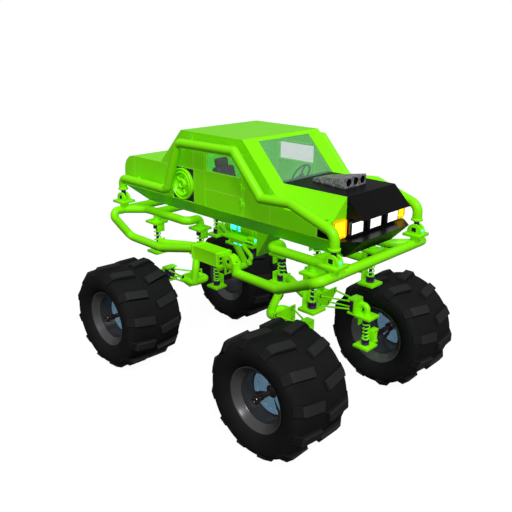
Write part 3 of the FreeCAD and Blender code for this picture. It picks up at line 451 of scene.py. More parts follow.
def mottledMetal():
    finish = Finish("mottledMetal")
    blotch = finish.noise(26.0, 5.0, 0.7)
    colour = finish.ramp(blotch, (0.3, rgb(58, 56, 60)), (0.48, rgb(118, 116, 120)), (0.62, rgb(176, 174, 178)),
                         (0.8, rgb(98, 95, 100)))
    return finish.surface(Base_Color=colour, Metallic=0.35, Roughness=blotch * 0.3 + 0.35,
                          Normal=finish.bump(blotch, 0.25, 0.004))


def clearGlass():
    finish = Finish("tintedGlass")
    film = finish.noise(2.5)
    return finish.surface(Base_Color=palette["glassTint"], Roughness=film * 0.04 + 0.03, Alpha=film * 0.06 + 0.15,
                          IOR=1.45, Coat_Weight=0.2)


def cyanLight():
    finish = Finish("cyanLight")
    colour = finish.mix(finish.noise(40.0), palette["cyan"], palette["cyanPale"])
    return finish.surface(Base_Color=colour, Roughness=0.3, Emission_Color=colour, Emission_Strength=1.0)


def glowing(name, centre, spans, inner, outer, edge, strength=1.0):
    # a lamp brightest in the middle; spans are its half sizes, 0 where it doesn't fade
    finish = Finish(name)
    reach = None
    for axis, middle, span in zip(finish.place(), centre, spans):
        if span:
            part = abs(abs(axis) - middle) * (1 / span)
            reach = finish.maths("MAXIMUM", reach, part) if reach else part
    return finish.glow(reach, palette[inner], palette[outer], edge, strength)


bodyLime = limePaint("bodyLime", panelLines["uprights"], panelLines["levels"], panelLines["corner"])
doorLime = limePaint("doorLime", (), panelLines["doorLevels"])
frameLime = limePaint("frameLime")
blackPaint = plainFinish("blackPaint", "black", "blackWorn", 0.42, bump=0.15, bumpScale=60.0, Specular_IOR_Level=0.15)
nosePaint = noseFinish()
shaftMetal = plainFinish("shaftMetal", "shaft", "shaftDark", 0.22, 0.5, 0.3)
purplePaint = plainFinish("purplePaint", "purple", "recess", 0.22, coat=0.5)
recessPaint = plainFinish("recessPaint", "recess", "black", 0.6)
glass = clearGlass()
leather = plainFinish("maroonLeather", "maroon", "recess", 0.5, scale=3.0, bump=0.35, bumpScale=260.0)
dashPlastic = plainFinish("dashPlastic", "dash", "gauge", 0.6, bump=0.2, bumpScale=300.0)
cyanGlow = cyanLight()
print("materials made")

wheels = {"front_left": (1, 1), "front_right": (1, -1), "rear_left": (-1, 1), "rear_right": (-1, -1)}
wheelAt = {"x": 1.668, "y": 1.287, "z": 0.838}
tyreSizes = {
    "wall": [(0.405, 0.434), (0.447, 0.464), (0.486, 0.528), (0.505, 0.6), (0.505, 0.665), (0.485, 0.722),
        (0.443, 0.76), (0.385, 0.768), (0.19, 0.771), (0.0, 0.772)],
    "sides": 96, "lugs": 12, "slant": 10, "turn": 4, "inset": 0.024, "treadEdge": 0.385, "crown": 0.8334,
    "foot": 0.735, "wide": 0.142, "shoulder": (0, 0.105, -0.045), "shoulderEnd": (0, 0.024, -0.07),
    "innerSlope": 0.034, "topWide": 0.9, "bevel": 0.004, "highlightFrom": 0.806,
}


def tyreRubber():
    # the lugs' tops are painted paler, a painted highlight, told by their distance from the axle
    finish = Finish("tyreRubber")
    grain = finish.noise(90.0, 6.0)
    colour = finish.mix(finish.noise(5.0, 6.0), palette["rubber"], palette["rubberDust"])
    alongX, alongY, alongZ = finish.place()
    out, rise = abs(alongX) - wheelAt["x"], alongZ - wheelAt["z"]
    away = finish.maths("SQRT", out * out + rise * rise)
    # painted highlight on the lugs' tops
    colour = finish.mix(away > tyreSizes["highlightFrom"], colour, palette["lugTopHighlight"])
    return finish.surface(Base_Color=colour, Roughness=grain * 0.15 + 0.66, Specular_IOR_Level=0.1,
                          Normal=finish.bump(grain, 0.18, 0.003))


def brushedRim(name, shade, roughness):
    # fine turning marks that run round the axle
    finish = Finish(name)
    values = {"W": finish.place()[1] * 240.0, "Scale": 1.0, "Detail": 2.0}
    marks = finish.node("TexNoise", values, noise_dimensions="1D")
    colour = finish.mix(marks, palette[shade], palette["barrel"])
    return finish.surface(Base_Color=colour, Metallic=0.65, Roughness=marks * 0.12 + roughness,
                          Normal=finish.bump(marks, 0.08))


def tyreLug():
    size = tyreSizes
    half = size["wide"] / 2
    lug = plainBox((-half, size["inset"], size["foot"]), (half, size["treadEdge"], size["crown"]))
    pick(lug, "FACE", lambda centre, normal: normal.y > 0.9)   # over the shoulder
    extrude(size["shoulder"])
    pick(lug, "VERT", lambda at: at.y > 0.45 and at.z > 0.75)
    bpy.ops.transform.translate(value=size["shoulderEnd"])
    pick(lug, "VERT", lambda at: at.y < 0.03 and at.z > 0.8)   # inner end slopes
    bpy.ops.transform.translate(value=(0, size["innerSlope"], 0))
    pick(lug, "VERT", lambda at: at.z > 0.715 and at.y > 0.03 or at.z > 0.8)
    stretch((0, 0, 0), size["topWide"], 1, 1)
    bpy.ops.mesh.select_all(action="SELECT")
    bevelEdges(size["bevel"])
    endEdit()
    lug.data.transform(turnBy(size["slant"], "Z", (0, (size["inset"] + size["treadEdge"]) / 2, 0)))
    return lug


def buildTyre():
    size = tyreSizes
    lug = tyreLug()
    other = copyAt(lug, Matrix.Scale(-1, 4, left))
    startEdit(other)
    bpy.ops.mesh.normals_make_consistent(inside=False)
    endEdit()
    pieces = [turnedPiece(bothWays(size["wall"]), way=left, sides=size["sides"], loop=True)]
    for k in range(size["lugs"]):
        for spare, late in ((lug, 0), (other, 0.5)):
            pieces.append(copyAt(spare, turnBy(180 + size["turn"] + (k + late) * 360 / size["lugs"], "Y")))
    for spare in (lug, other):
        bpy.data.objects.remove(spare)
    return joinAll(pieces)


rimSizes = {
    "shell": [(0.118, 0.062), (0.118, 0.322), (0.326, 0.33), (0.33, 0.344), (0.342, 0.352), (0.408, 0.418),
        (0.421, 0.424), (0.4272, 0.432), (0.4272, 0.444), (0.421, 0.4455), (0.407, 0.433), (-0.407, 0.433),
        (-0.412, 0.4455), (-0.4187, 0.444), (-0.4187, 0.432), (-0.408, 0.42), (-0.33, 0.336), (0.106, 0.328),
        (0.106, 0.062)],
    "hub": [(-0.058, 0.046), (-0.06, 0.062), (-0.052, 0.069), (0.143, 0.069), (0.15, 0.06), (0.155, 0.036),
        (0.29, 0.034), (0.294, 0.043), (0.304, 0.043), (0.308, 0.034), (0.318, 0.034), (0.322, 0.044),
        (0.332, 0.044), (0.336, 0.034), (0.346, 0.034), (0.35, 0.045), (0.36, 0.045), (0.366, 0.036),
        (0.378, 0.046), (0.392, 0.057), (0.408, 0.0598), (0.426, 0.055), (0.438, 0.045), (0.4428, 0.036),
        (0.436, 0.026), (0.42, 0.018)],
    "sides": 96, "hubSides": 40, "lipRadius": 0.338, "lipDepth": 0.325,
    "sectors": 4, "span": 76, "start": 20, "in": 0.09, "out": 0.3, "low": 0.099, "high": 0.126,
    "bandIn": 0.052, "bandPast": 0.006, "studs": (0.2, 0.5, 0.8), "studAt": 0.236, "studR": 0.006, "studPast": 0.01,
}


def spunSector(radii, levels, span, start, steps=12):
    # a rectangle in the XY plane spun about the axle
    bpy.ops.object.select_all(action="DESELECT")
    bpy.ops.mesh.primitive_plane_add(size=1, location=(sum(radii) / 2, sum(levels) / 2, 0))
    obj = bpy.context.object
    obj.scale = (radii[1] - radii[0], levels[1] - levels[0], 1)
    applyPlace(obj)
    obj.data.transform(turnBy(start, "Y"))
    startEdit(obj)
    bpy.ops.mesh.delete(type="ONLY_FACE")
    bpy.ops.mesh.select_all(action="SELECT")
    bpy.ops.mesh.spin(steps=steps, angle=math.radians(span), center=(0, 0, 0), axis=left)
    endEdit()
    return closeMesh(obj)


def buildRim():
    size = rimSizes
    low, high, past = size["low"], size["high"], size["bandPast"]
    shell = turnedPiece(size["shell"], way=left, sides=size["sides"], loop=True)
    for material in (rimBarrel, rimLip):
        shell.data.materials.append(material)
    for face in shell.data.polygons:
        x, y, z = face.center
        face.material_index = int(math.hypot(x, z) > size["lipRadius"] and abs(y) > size["lipDepth"])
    plates = []
    studs = [turnedPiece(size["hub"], way=left, sides=size["hubSides"])]
    for k in range(size["sectors"]):
        start, span = k * 360 / size["sectors"] + size["start"], size["span"] - 4
        plates.append(spunSector((size["in"], size["out"]), (low, high), size["span"], start))
        band = (size["out"] - size["bandIn"], size["out"] + past)
        plates.append(spunSector(band, (low - past, high + past), span, start + 2))
        for part in size["studs"]:
            angle = math.radians(-(start + 2 + span * part))
            at = (math.cos(angle) * size["studAt"], (low + high) / 2, math.sin(angle) * size["studAt"])
            studs.append(collar(at, left, size["studR"], high - low + 2 * size["studPast"], 8, 0.003))
    return joinAll([shell] + paintAll(studs, shaftMetal) + paintAll(plates, sectorLitPaint))


rubber = tyreRubber()
rimLip = brushedRim("rimLip", "chrome", 0.16)
rimBarrel = brushedRim("rimBarrel", "barrel", 0.22)
# the sectors glow faintly in their darker tone: painted light, though they are no lamp
sectorLitPaint = plainFinish("sectorLitPaint", "sector", "sectorDark", 0.4, Emission_Color=palette["sectorDark"],
                          Emission_Strength=0.25)
tyreMaster, rimMaster = buildTyre(), buildRim()
for where, (sideX, sideY) in wheels.items():
    centre = Matrix.Translation((sideX * wheelAt["x"], sideY * wheelAt["y"], wheelAt["z"]))
    finishPiece([copyAt(tyreMaster, centre)], "tyre_" + where, rubber, "wheel_" + where)
    rim = copyAt(rimMaster, centre @ turnBy(0 if sideY > 0 else 180, "Z"))
    finishPiece([rim], "rim_" + where, None, "wheel_" + where, 30)
for master in (tyreMaster, rimMaster):
    bpy.data.objects.remove(master)
print("wheels done")

panels = {
    "body_tub": bodyLime, "quarter_panels": bodyLime, "front_fenders": bodyLime, "roof_panel": frameLime,
    "bed_deck": frameLime, "hood": blackPaint, "nose": nosePaint, "door_left": doorLime, "door_right": doorLime,
    "belly_wedge": frameLime,
}
panelEdge = {"bevel": 0.003, "segments": 2, "angle": 25, "smooth": 8}


def dressedCopy(node):
    # the solid's own panel with eased edges
    source = frame["nodes"][node]
    obj = source.copy()
    obj.data = source.data.copy()
    for key in list(obj.keys()):
        if key.startswith("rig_"):
            del obj[key]
    obj.parent = None
    obj.hide_render = obj.hide_viewport = False
    bpy.context.scene.collection.objects.link(obj)
    startEdit(obj)
    bpy.ops.mesh.remove_doubles(threshold=0.0001)
    bpy.ops.mesh.dissolve_limited(angle_limit=math.radians(1))
    endEdit()
    return easeEdges(obj, panelEdge["bevel"], panelEdge["segments"], panelEdge["angle"])


for node, material in panels.items():
    body = node if node.startswith("door") else "chassis"
    finishPiece([dressedCopy(node)], node, material, body, panelEdge["smooth"])
for node in ("windshield", "rear_glass", "door_glass_left", "door_glass_right"):
    paint(frame["nodes"][node], glass)
print("panels done")

headLamp = {"pitch": 0.386, "wide": 0.289, "low": 2.796, "high": 2.989, "back": 2.075, "front": 2.12,
            "corner": 0.034, "inset": 0.002, "edge": (0.7, 0.97)}
cornerLamp = {"low": (2.0302, 0.532, 2.792), "high": (2.048, 0.766, 3.018), "corner": 0.028, "inset": 0.012,
              "middle": (0, 0.648, 2.902), "spans": (0, 0.118, 0.112), "edge": (0.62, 1.0)}


def softLamp():
    # white across the middle, grey at the edges of each of the three lamps
    lamp = headLamp
    finish = Finish("whiteGlow")
    alongX, alongY, alongZ = finish.place()
    half = lamp["pitch"] / 2
    across = abs(abs(abs(alongY) - half) - half) * (2 / lamp["wide"])   # 0 at each lamp's middle, 1 at its edges
    rise = abs(alongZ - (lamp["low"] + lamp["high"]) / 2) * (2 / (lamp["high"] - lamp["low"]))
    reach = finish.maths("MAXIMUM", across, rise)
    return finish.glow(reach, palette["lampWhite"], palette["lampEdge"], lamp["edge"], 1.0, 20.0)


def roundedLamp(low, high, corner, inset):
    # a box with round corners, its front set in to hold the glass
    obj = plainBox(low, high)
    pick(obj, "EDGE", lambda a, b: abs(a.x - b.x) > 0.5 * (high[0] - low[0]))
    bevelEdges(corner, 5)
    pick(obj, "FACE", lambda centre, normal: normal.x > 0.9)
    bpy.ops.mesh.inset(thickness=inset, depth=0)
    extrude((-0.006, 0, 0))
    endEdit()
    return obj


def buildHeadLamps():
    lamp = headLamp
    parts = []
    half = lamp["wide"] / 2
    for y in (-lamp["pitch"], 0, lamp["pitch"]):
        low, high = (lamp["back"], y - half, lamp["low"]), (lamp["front"], y + half, lamp["high"])
        parts.append(paint(roundedLamp(low, high, lamp["corner"], lamp["inset"]), bezelGrey))
        parts[-1].data.materials.append(whiteGlow)
        for face in parts[-1].data.polygons:
            face.material_index = int(face.normal.x > 0.9 and face.center.x < lamp["front"] - 0.002)
    return parts


amber = glowing("amberPair", cornerLamp["middle"], cornerLamp["spans"], "amber", "amberEdge", cornerLamp["edge"])
whiteGlow = softLamp()
bezelGrey = plainFinish("bezelGrey", "black", "dash", 0.35)
finishPiece(buildHeadLamps(), "head_lamps", smooth=30)
lamp = roundedLamp(cornerLamp["low"], cornerLamp["high"], cornerLamp["corner"], cornerLamp["inset"])
finishPiece([lamp], "corner_lamps", amber, smooth=30, mirror="Y")
print("lamps done")

scoop = {"mouth": 1.775, "tail": 1.19, "foot": 3.285, "mouthHalf": 0.235, "tailHalf": 0.16, "mouthHigh": 0.14,
         "tailHigh": 0.045, "topWide": 0.93, "holeR": 0.05, "pitch": 0.145, "deep": 0.075, "bevel": 0.006}


def buildScoop():
    size = scoop
    foot, tall, mouth, tail = size["foot"], size["mouthHigh"], size["mouth"], size["tail"]
    obj = plainBox((tail, -size["mouthHalf"], foot), (mouth, size["mouthHalf"], foot + tall))
    pick(obj, "VERT", lambda at: at.x < tail + 0.01)
    stretch((tail, 0, foot), 1, size["tailHalf"] / size["mouthHalf"], size["tailHigh"] / tall)
    pick(obj, "VERT", lambda at: at.z > foot + 0.01)
    stretch((mouth, 0, foot), 1, size["topWide"], 1)
    endEdit()
    holes = [(k * size["pitch"], foot + tall / 2) for k in (-1, 0, 1)]
    bore = [(0, size["holeR"]), (size["deep"] + 0.02, size["holeR"] * 0.92)]
    cutAway(obj, joinAll([turnedPiece(bore, (mouth + 0.02, y, z), (-1, 0, 0), 32) for y, z in holes]))
    easeEdges(obj, size["bevel"], 3, 35)
    paint(obj, scoopMetal)
    obj.data.materials.append(blackPaint)
    for face in obj.data.polygons:
        x, y, z = face.center
        near = min(math.hypot(y - holeY, z - holeZ) for holeY, holeZ in holes)
        face.material_index = int(mouth - 0.09 < x < mouth - 0.004 and near < size["holeR"] + 0.001)
    return obj


scoopMetal = mottledMetal()
finishPiece([buildScoop()], "scoop", smooth=30)

sideFan = {
    "x": -0.78, "z": 3.03, "face": 0.762,
    "ring": [(0, 0.228), (0, 0.236), (0.04, 0.2395), (0.05, 0.232), (0.053, 0.222), (0.05, 0.212), (0.04, 0.206),
        (0.032, 0.202), (0.032, 0.192), (0.05, 0.186), (0.0555, 0.178), (0.054, 0.166), (0.03, 0.15),
        (0.012, 0.146), (0.002, 0.146)],
    "hub": [(0.0, 0.12), (0.02, 0.118), (0.024, 0.108), (0.018, 0.098), (0.018, 0.085), (0.046, 0.074),
        (0.0555, 0.062), (0.0555, 0.048), (0.04, 0.04), (0.04, 0.02)],
    "bars": 5, "firstBar": 18, "barLow": (-0.01, 0.006, 0.07), "barHigh": (0.01, 0.034, 0.2),
    "recessY": 0.76185, "recessHalf": (0.244, 0.00165, 0.244),
}


def buildSideFan():
    size = sideFan
    at = (size["x"], size["face"], size["z"])
    parts = [turnedPiece(size["ring"], at, left, 64), turnedPiece(size["hub"], at, left, 40)]
    for k in range(size["bars"]):
        bar = bevelledBox(size["barLow"], size["barHigh"], 0.004)
        bar.data.transform(Matrix.Translation(at) @ turnBy(k * 360 / size["bars"] + size["firstBar"], "Y"))
        parts.append(bar)
    return parts


finishPiece(buildSideFan(), "side_fans", smooth=30, mirror="Y")
recess = block((sideFan["x"], sideFan["recessY"], sideFan["z"]), sideFan["recessHalf"], 0.001, 1)
placePiece(mirrored(recess, "Y"), "fan_recess_floor", recessPaint)

# each cushion's corners and how far it leans
seat = {
    "cushions": [((-0.3, 0.12, 2.7), (0.235, 0.47, 2.905), -4), ((-0.4, 0.12, 2.86), (-0.245, 0.47, 3.3), -14),
        ((-0.395, 0.19, 3.29), (-0.285, 0.4, 3.425), -14)],
    "frame": ((-0.315, 0.14, 2.565), (0.2, 0.45, 2.72)), "pivot": (-0.3, 0, 2.86), "crown": 0.5, "round": 0.28,
}


def cushion(low, high, lean):
    # a padded block: sides drawn in at the seams, its face crowned
    obj = plainBox(low, high)
    startEdit(obj)
    bevelEdges(min(Vector(high) - Vector(low)) * seat["round"], 2)
    bpy.ops.mesh.select_all(action="SELECT")
    bpy.ops.mesh.subdivide(number_cuts=1, smoothness=seat["crown"])
    endEdit()
    addModifier(obj, "SUBSURF", levels=2, render_levels=2)
    obj.data.transform(turnBy(lean, "Y", seat["pivot"]))
    return obj


seatParts = [cushion(*place) for place in seat["cushions"]] + [bevelledBox(*seat["frame"], 0.015)]
seats = finishPiece(seatParts, "seats", leather, smooth=60, mirror="Y")

dash = {
    "low": (0.78, -0.728, 2.992), "high": (0.94, 0.728, 3.268), "slope": 0.05,
    "podLow": (0.765, 0.15, 3.1), "podHigh": (0.85, 0.43, 3.235),
    "column": [(0, 0.02), (0.02, 0.024), (0.215, 0.022), (0.235, 0.036), (0.262, 0.036), (0.268, 0.028)],
    "columnAt": (0.835, 0.29, 3.1025), "columnWay": (-0.24, 0, 0.12), "wheelAt": (0.6, 0.29, 3.22),
    "wheelR": 0.166, "gripR": 0.013, "spokes": (90, 210, 330),
}


def buildDash():
    size = dash
    top = plainBox(size["low"], size["high"])
    pick(top, "VERT", lambda at: at.x < size["low"][0] + 0.01 and at.z > 3.2)
    bpy.ops.transform.translate(value=(size["slope"], 0, 0))
    bpy.ops.mesh.select_all(action="SELECT")
    bevelEdges(0.018, 3)
    endEdit()
    turn = Vector(size["columnWay"]).normalized().to_track_quat("Z", "Y")
    column = turnedPiece(size["column"], size["columnAt"], size["columnWay"], 24)
    bpy.ops.object.select_all(action="DESELECT")
    bpy.ops.mesh.primitive_torus_add(major_radius=size["wheelR"], minor_radius=size["gripR"], major_segments=48,
                                     minor_segments=10, location=size["wheelAt"], rotation=turn.to_euler())
    ring = applyPlace(bpy.context.object)
    parts = [top, bevelledBox(size["podLow"], size["podHigh"], 0.02, 3), column, ring]
    for degrees in size["spokes"]:
        spoke = bevelledBox((0.02, -0.013, -0.005), (size["wheelR"], 0.013, 0.005), 0.003)
        spoke.data.transform(Matrix.Translation(size["wheelAt"]) @ turn.to_matrix().to_4x4() @ turnBy(degrees, "Z"))
        parts.append(spoke)
    return parts


finishPiece(buildDash(), "dashboard", dashPlastic, smooth=40)
print("cab done")

pipe = {"r": 0.066, "sides": 32, "seam": 0.05}
rail = {
    "y": 0.91, "stayFrom": 0.7765, "flangeX": 2.17, "flangeZ": 2.7322,
    "path": [(-2.17, 2.734), (-2.17, 2.922), (-1.000, 2.92), (-0.69, 3.66), (0.474, 3.68), (0.97, 3.14),
        (1.48, 3.17), (2.17, 2.943), (2.17, 2.734)],
    "bends": [0.095, 0.11, 0.1, 0, 0, 0, 0.14],
    "stays": [(-1.9, 2.922), (-1.25, 2.92), (-0.56, 3.662), (0.3, 3.677), (1.06, 3.145), (1.985, 3.003)],
    "stay": [(0.0, 0.046), (0.006, 0.046), (0.01, 0.031), (0.13, 0.03)],
    "flange": [(0, 0.066), (0.002, 0.078), (0.005, 0.08), (0.026, 0.08), (0.03, 0.076), (0.034, 0.066)],
}


def pipeRun(path, bends=(), seam=pipe["seam"], thin=0.0):
    return bentTube(path, pipe["r"] - thin, bends, pipe["sides"], seam)


def buildRails():
    r = rail
    parts = [pipeRun([(x, r["y"], z) for x, z in r["path"]], r["bends"])]
    parts += [turnedPiece(r["stay"], (x, r["stayFrom"], z), left, 20) for x, z in r["stays"]]
    parts += [turnedPiece(r["flange"], (x, r["y"], r["flangeZ"]), up, 36) for x in (-r["flangeX"], r["flangeX"])]
    return parts


finishPiece(buildRails(), "outer_rails", nodes=["exo_rail_left", "exo_rail_right"], mirror="Y")

mount = {
    "x": 2.17, "y": 0.91, "foot": 2.52, "half": 0.131, "thick": 0.04, "lugHalf": 0.106, "lugHigh": 0.129,
    "lugIn": 0.024, "lugOut": 0.059,
    "bars": [(0, 0.015, 0.044, 0.005), (0, 0.085, 0.044, 0.005),
        (-0.039, 0.05, 0.005, 0.03), (0.039, 0.05, 0.005, 0.03)],
    "neck": [(0, 0.03), (0.004, 0.036), (0.15, 0.036), (0.156, 0.046), (0.172, 0.046)],
    "ball": [(-0.034, 0.006), (-0.031, 0.015), (-0.019, 0.028), (0, 0.034)], "ballX": 0.088, "ballUp": 0.036,
}


def mountLug(x, y0, y1, low, high, half):
    # an upright lug: straight sides under a half-round top
    straight, centre = high - half - 0.002, (x, (y0 + y1) / 2, high - half)
    bpy.ops.object.select_all(action="DESELECT")
    bpy.ops.mesh.primitive_cylinder_add(vertices=32, radius=half, depth=y1 - y0, location=centre,
                                        rotation=(math.pi / 2, 0, 0))
    obj = applyPlace(bpy.context.object)
    startEdit(obj)
    bpy.ops.mesh.bisect(plane_co=(x, y0, straight), plane_no=(0, 0, -1), use_fill=True, clear_outer=True)
    extrude((0, 0, low - straight))
    endEdit()
    return easeEdges(obj, 0.004, 2, 40)


def buildMounts():
    m = mount
    x, y, thin = m["x"], m["y"], m["thick"] / 2
    floor = m["foot"] + m["thick"]
    parts = [block((x, y, m["foot"] + thin), (m["half"], m["half"], thin))]
    for side in (-1, 1):
        inner, face = y + side * m["lugIn"], y + side * m["lugOut"]
        parts.append(mountLug(x, min(inner, face), max(inner, face), floor, floor + m["lugHigh"], m["lugHalf"]))
        parts.append(paint(block((x, face, floor + 0.05), (0.034, 0.001, 0.03), 0.0005, 1), recessPaint))
        for x0, z0, wide, tall in m["bars"]:   # they frame the dark window
            parts.append(block((x + x0, face, floor + z0), (wide, 0.004, tall), 0.002, 1))
    neck = turnedPiece(m["neck"], (x, y, floor + 0.001), up, 28)
    ball = turnedPiece(bothWays(m["ball"]), (x + m["ballX"], y, floor + m["ballUp"]), up, 24)
    return parts + [paint(neck, purplePaint), paint(ball, cyanGlass)]


cyanGlass = glowing("cyanGlass", (0, 0, 2.6), (0, 0, 0.034), "ball", "ballEdge", (0.15, 0.9), 0.5)
finishPiece(buildMounts(), "body_mounts", smooth=30, mirror="XY")
print("rails and mounts done")

upper = {
    "x": 2.17, "z": 2.4, "tip": 1.0, "side": [(2.17, 0.91), (1.91, 0.65), (0.875, 0.65), (0.875, 0.39)],
    "top": 2.266, "bends": [0.12, 0.115, 0.08], "coilX": 1.655, "coilY": 0.65, "collarsX": (1.4, 1.86), "collarY": 0.76,
    "cup": [(0, 0.05), (0.1, 0.05), (0.108, 0.06), (0.134, 0.06)],
    "post": [(0, 0.066), (0.085, 0.066), (0.092, 0.076), (0.118, 0.076), (0.1198, 0.074)],
}


def buildUpper():
    u = upper
    x, z, across, coilX = u["x"], u["z"], u["coilY"], u["coilX"]
    parts = [pipeRun([(x, -u["tip"], z), (x, u["tip"], z)])]
    for side in (-1, 1):
        path = [(px, side * py, z) for px, py in u["side"]]
        parts += [
            pipeRun(path + [(path[-1][0], path[-1][1], u["top"])], u["bends"]),
            turnedPiece(u["cup"], (coilX, side * across, z), (0, 0, -1), 32),
            turnedPiece(u["post"], (x, side * mount["y"], z), up, 32),
        ]
        parts += [collar((at, side * across, z), forward) for at in u["collarsX"]]
        parts.append(collar((x, side * u["collarY"], z), left))
    parts.append(pipeRun([(coilX, -across, z), (coilX, across, z)], thin=0.002))
    return parts


finishPiece(buildUpper(), "upper_frame", mirror="X")

lower = {
    "y": 0.905, "frontBends": [0.085], "backBends": [0.085, 0.12],
    "front": [(2.17, 0.985, 2.4), (2.17, 1.176, 2.402), (1.29, 0.905, 1.98), (0.5, 0.905, 1.99), (0.5, 0.905, 2.15)],
    "back": [(-2.17, 0.98, 2.4), (-2.178, 1.19, 2.4), (-2.045, 0.905, 1.958), (-1.2, 0.905, 1.955),
        (-0.45, 0.905, 2.13), (-0.325, 0.905, 2.14)],
    "strutR": 0.058, "strut": [(0.985, 0.39, 1.915), (1.025, 0.39, 1.915), (1.505, 0.65, 1.915), (1.545, 0.65, 1.915)],
    "hoop": [(1.018, 0.6, 1.385), (0.83, 0.6, 1.385), (0.83, 0.32, 1.385), (1.018, 0.32, 1.385)],
    "leg": [(0.83, 0.575, 1.385), (0.92, 0.44, 1.755), (0.92, 0.44, 1.8095)],
    "collars": [((0.993, 0.39, 1.915), forward, 0.014), ((1.537, 0.65, 1.915), forward, 0.014),
        ((0.92, 0.44, 1.798), up, 0.016)], "collarR": 0.0605,
    "plateLow": (1.0152, 0.25, 1.235), "plateHigh": (1.0348, 0.7, 1.487), "plateCut": 0.175,
    "eyes": [(0.315, 1.445), (0.655, 1.445), (0.315, 1.29), (0.52, 1.29)],
    "boxLow": (-0.345, 0.78, 2.04), "boxHigh": (0.27, 1.03, 2.24), "bands": ((-0.29, 0.012), (0.22, 0.022)),
    "discX": 0.395, "discZ": 2.15, "endX": 0.5,
    "disc": [(-0.062, 0.08), (-0.058, 0.092), (-0.03, 0.092), (-0.026, 0.084), (0.026, 0.084), (0.03, 0.092),
        (0.058, 0.092), (0.062, 0.08), (0.058, 0.06)],
}


def linkPlate():
    # a plate across the truck, its lower outer corner cut off, with the rods' eyes dark
    plate = plainBox(lower["plateLow"], lower["plateHigh"])
    pick(plate, "EDGE", lambda a, b: abs(a.x - b.x) > 0.01 and a.y > 0.6 and a.z < 1.3)
    bevelEdges(lower["plateCut"])
    endEdit()
    eyes = [collar((1.025, y, z), forward, 0.027, 0.0216, 20, 0.009, 0.001) for y, z in lower["eyes"]]
    return [paint(easeEdges(plate, 0.003), frameLime)] + paintAll(eyes, recessPaint)


def sideBox(low, high):
    # the box on the rail: its back end chamfered, its outer and upper faces set in
    box = plainBox(low, high)
    pick(box, "EDGE", lambda a, b: a.x < low.x + 0.01 and b.x < low.x + 0.01)
    bevelEdges(0.026)
    pick(box, "FACE", lambda centre, normal: normal.y > 0.95 or normal.z > 0.95)
    bpy.ops.mesh.inset(thickness=0.014, depth=-0.003, use_individual=True)
    endEdit()
    return box


def buildLower():
    s = lower
    y, low, high, end = s["y"], Vector(s["boxLow"]), Vector(s["boxHigh"]), s["endX"]
    disc, r = (s["discX"], y, s["discZ"]), s["strutR"]
    parts = [
        pipeRun(s["front"], s["frontBends"]), pipeRun(s["back"], s["backBends"]), sideBox(low, high),
        turnedPiece([(0, 0.0675), (0.012, 0.0675), (0.018, 0.05), (0.024, 0.03)], (end, y, 2.13), up, 28),
        turnedPiece(s["disc"], disc, left, 40),
        turnedPiece([(0.055, 0.02), (0.0618, 0.018), (0.0618, 0.01)], disc, left, 16),
        block(((disc[0] + end) / 2, y, 2.15), ((end - disc[0]) / 2, 0.03, 0.052), 0.008),
    ]
    dark = [
        block((low.x - 0.002, y + 0.072, 2.13), (0.0025, 0.022, 0.06), 0.002),
        turnedPiece([(0, 0.022), (0.003, 0.022), (0.0045, 0.016)], (end, y, 2.1515), up, 24),
        turnedPiece([(0, 0.026), (0.002, 0.026), (0.003, 0.018)], (disc[0], y + 0.0605, disc[2]), left, 24),
    ]
    middle, half = (low + high) / 2, (high - low) / 2 + Vector((0, 0.007, 0.007))
    for x, wide in s["bands"]:
        parts.append(block((x, middle.y, middle.z), (wide, half.y, half.z), 0.01, 1))
    for side in (-1, 1):
        cheek = (high.x - 0.008 + disc[0]) / 2
        parts.append(block((cheek, y + side * 0.043, 2.15), (disc[0] - cheek, 0.019, 0.072), 0.006))
        for z in (2.107, 2.172):
            dark.append(block((high.x + 0.002, y + side * 0.088, z), (0.0025, 0.022, 0.022), 0.002))
    corner = [bentTube(s["strut"], r, [0.1, 0.1]), bentTube(s["hoop"], r, [0.068, 0.068], 28, 0.02),
              bentTube(s["leg"], r, [0.08])] + [collar(at, way, s["collarR"], long) for at, way, long in s["collars"]]
    corner = mirrored(joinAll(paintAll(corner, frameLime) + linkPlate()), "X")
    return parts + paintAll(dark, recessPaint) + [corner]


finishPiece(buildLower(), "lower_rails", nodes=["lower_rail_left", "lower_rail_right"], mirror="Y")
print("frame done")

# each place: x, y, foot, top, the height of the foot's tabs, and which way they stand
coilover = {
    "places": [(1.655, 0.65, 1.72, 2.266, 1.975, (-1,)), (0.875, 0.39, 1.81, 2.266, 1.975, (-1, 1)),
        (1.66, 0.63, 0.723, 1.242, 0, ())],
    "half": 0.131, "thick": 0.04, "gap": 0.09, "bodyR": 0.064, "waistR": 0.057, "rodR": 0.024,
    "wireR": 0.0105, "springR": 0.05, "turn": 0.062, "seatR": 0.0605, "tabX": 0.1, "tabHalf": 0.07,
}


def helix(x, y, low, high):
    c = coilover
    bpy.ops.object.select_all(action="DESELECT")
    bpy.ops.mesh.primitive_circle_add(vertices=10, radius=c["wireR"], location=(c["springR"], 0, 0),
                                      rotation=(math.pi / 2, 0, 0))
    obj = applyPlace(bpy.context.object)
    rise = high - low - 2 * c["wireR"]
    turns = round(rise / c["turn"])
    addModifier(obj, "SCREW", angle=math.tau, screw_offset=rise / turns, iterations=turns, steps=28, render_steps=28,
                use_normal_calculate=True)
    closeMesh(obj)
    obj.data.transform(Matrix.Translation((x, y, low + c["wireR"])))
    return obj


def damper(low, z0, z1, high):
    # a grooved body at each end and the rod between them
    body, waist, rod = coilover["bodyR"], coilover["waistR"], coilover["rodR"]
    return [(low, body - 0.004), (low + 0.004, body), (z0 - 0.034, body), (z0 - 0.03, waist), (z0 - 0.02, waist),
            (z0 - 0.016, body), (z0, body), (z0 + 0.001, rod), (z1 - 0.001, rod), (z1, body), (z1 + 0.026, body),
            (z1 + 0.03, waist), (z1 + 0.044, waist), (z1 + 0.048, body), (high - 0.004, body), (high, body - 0.006)]


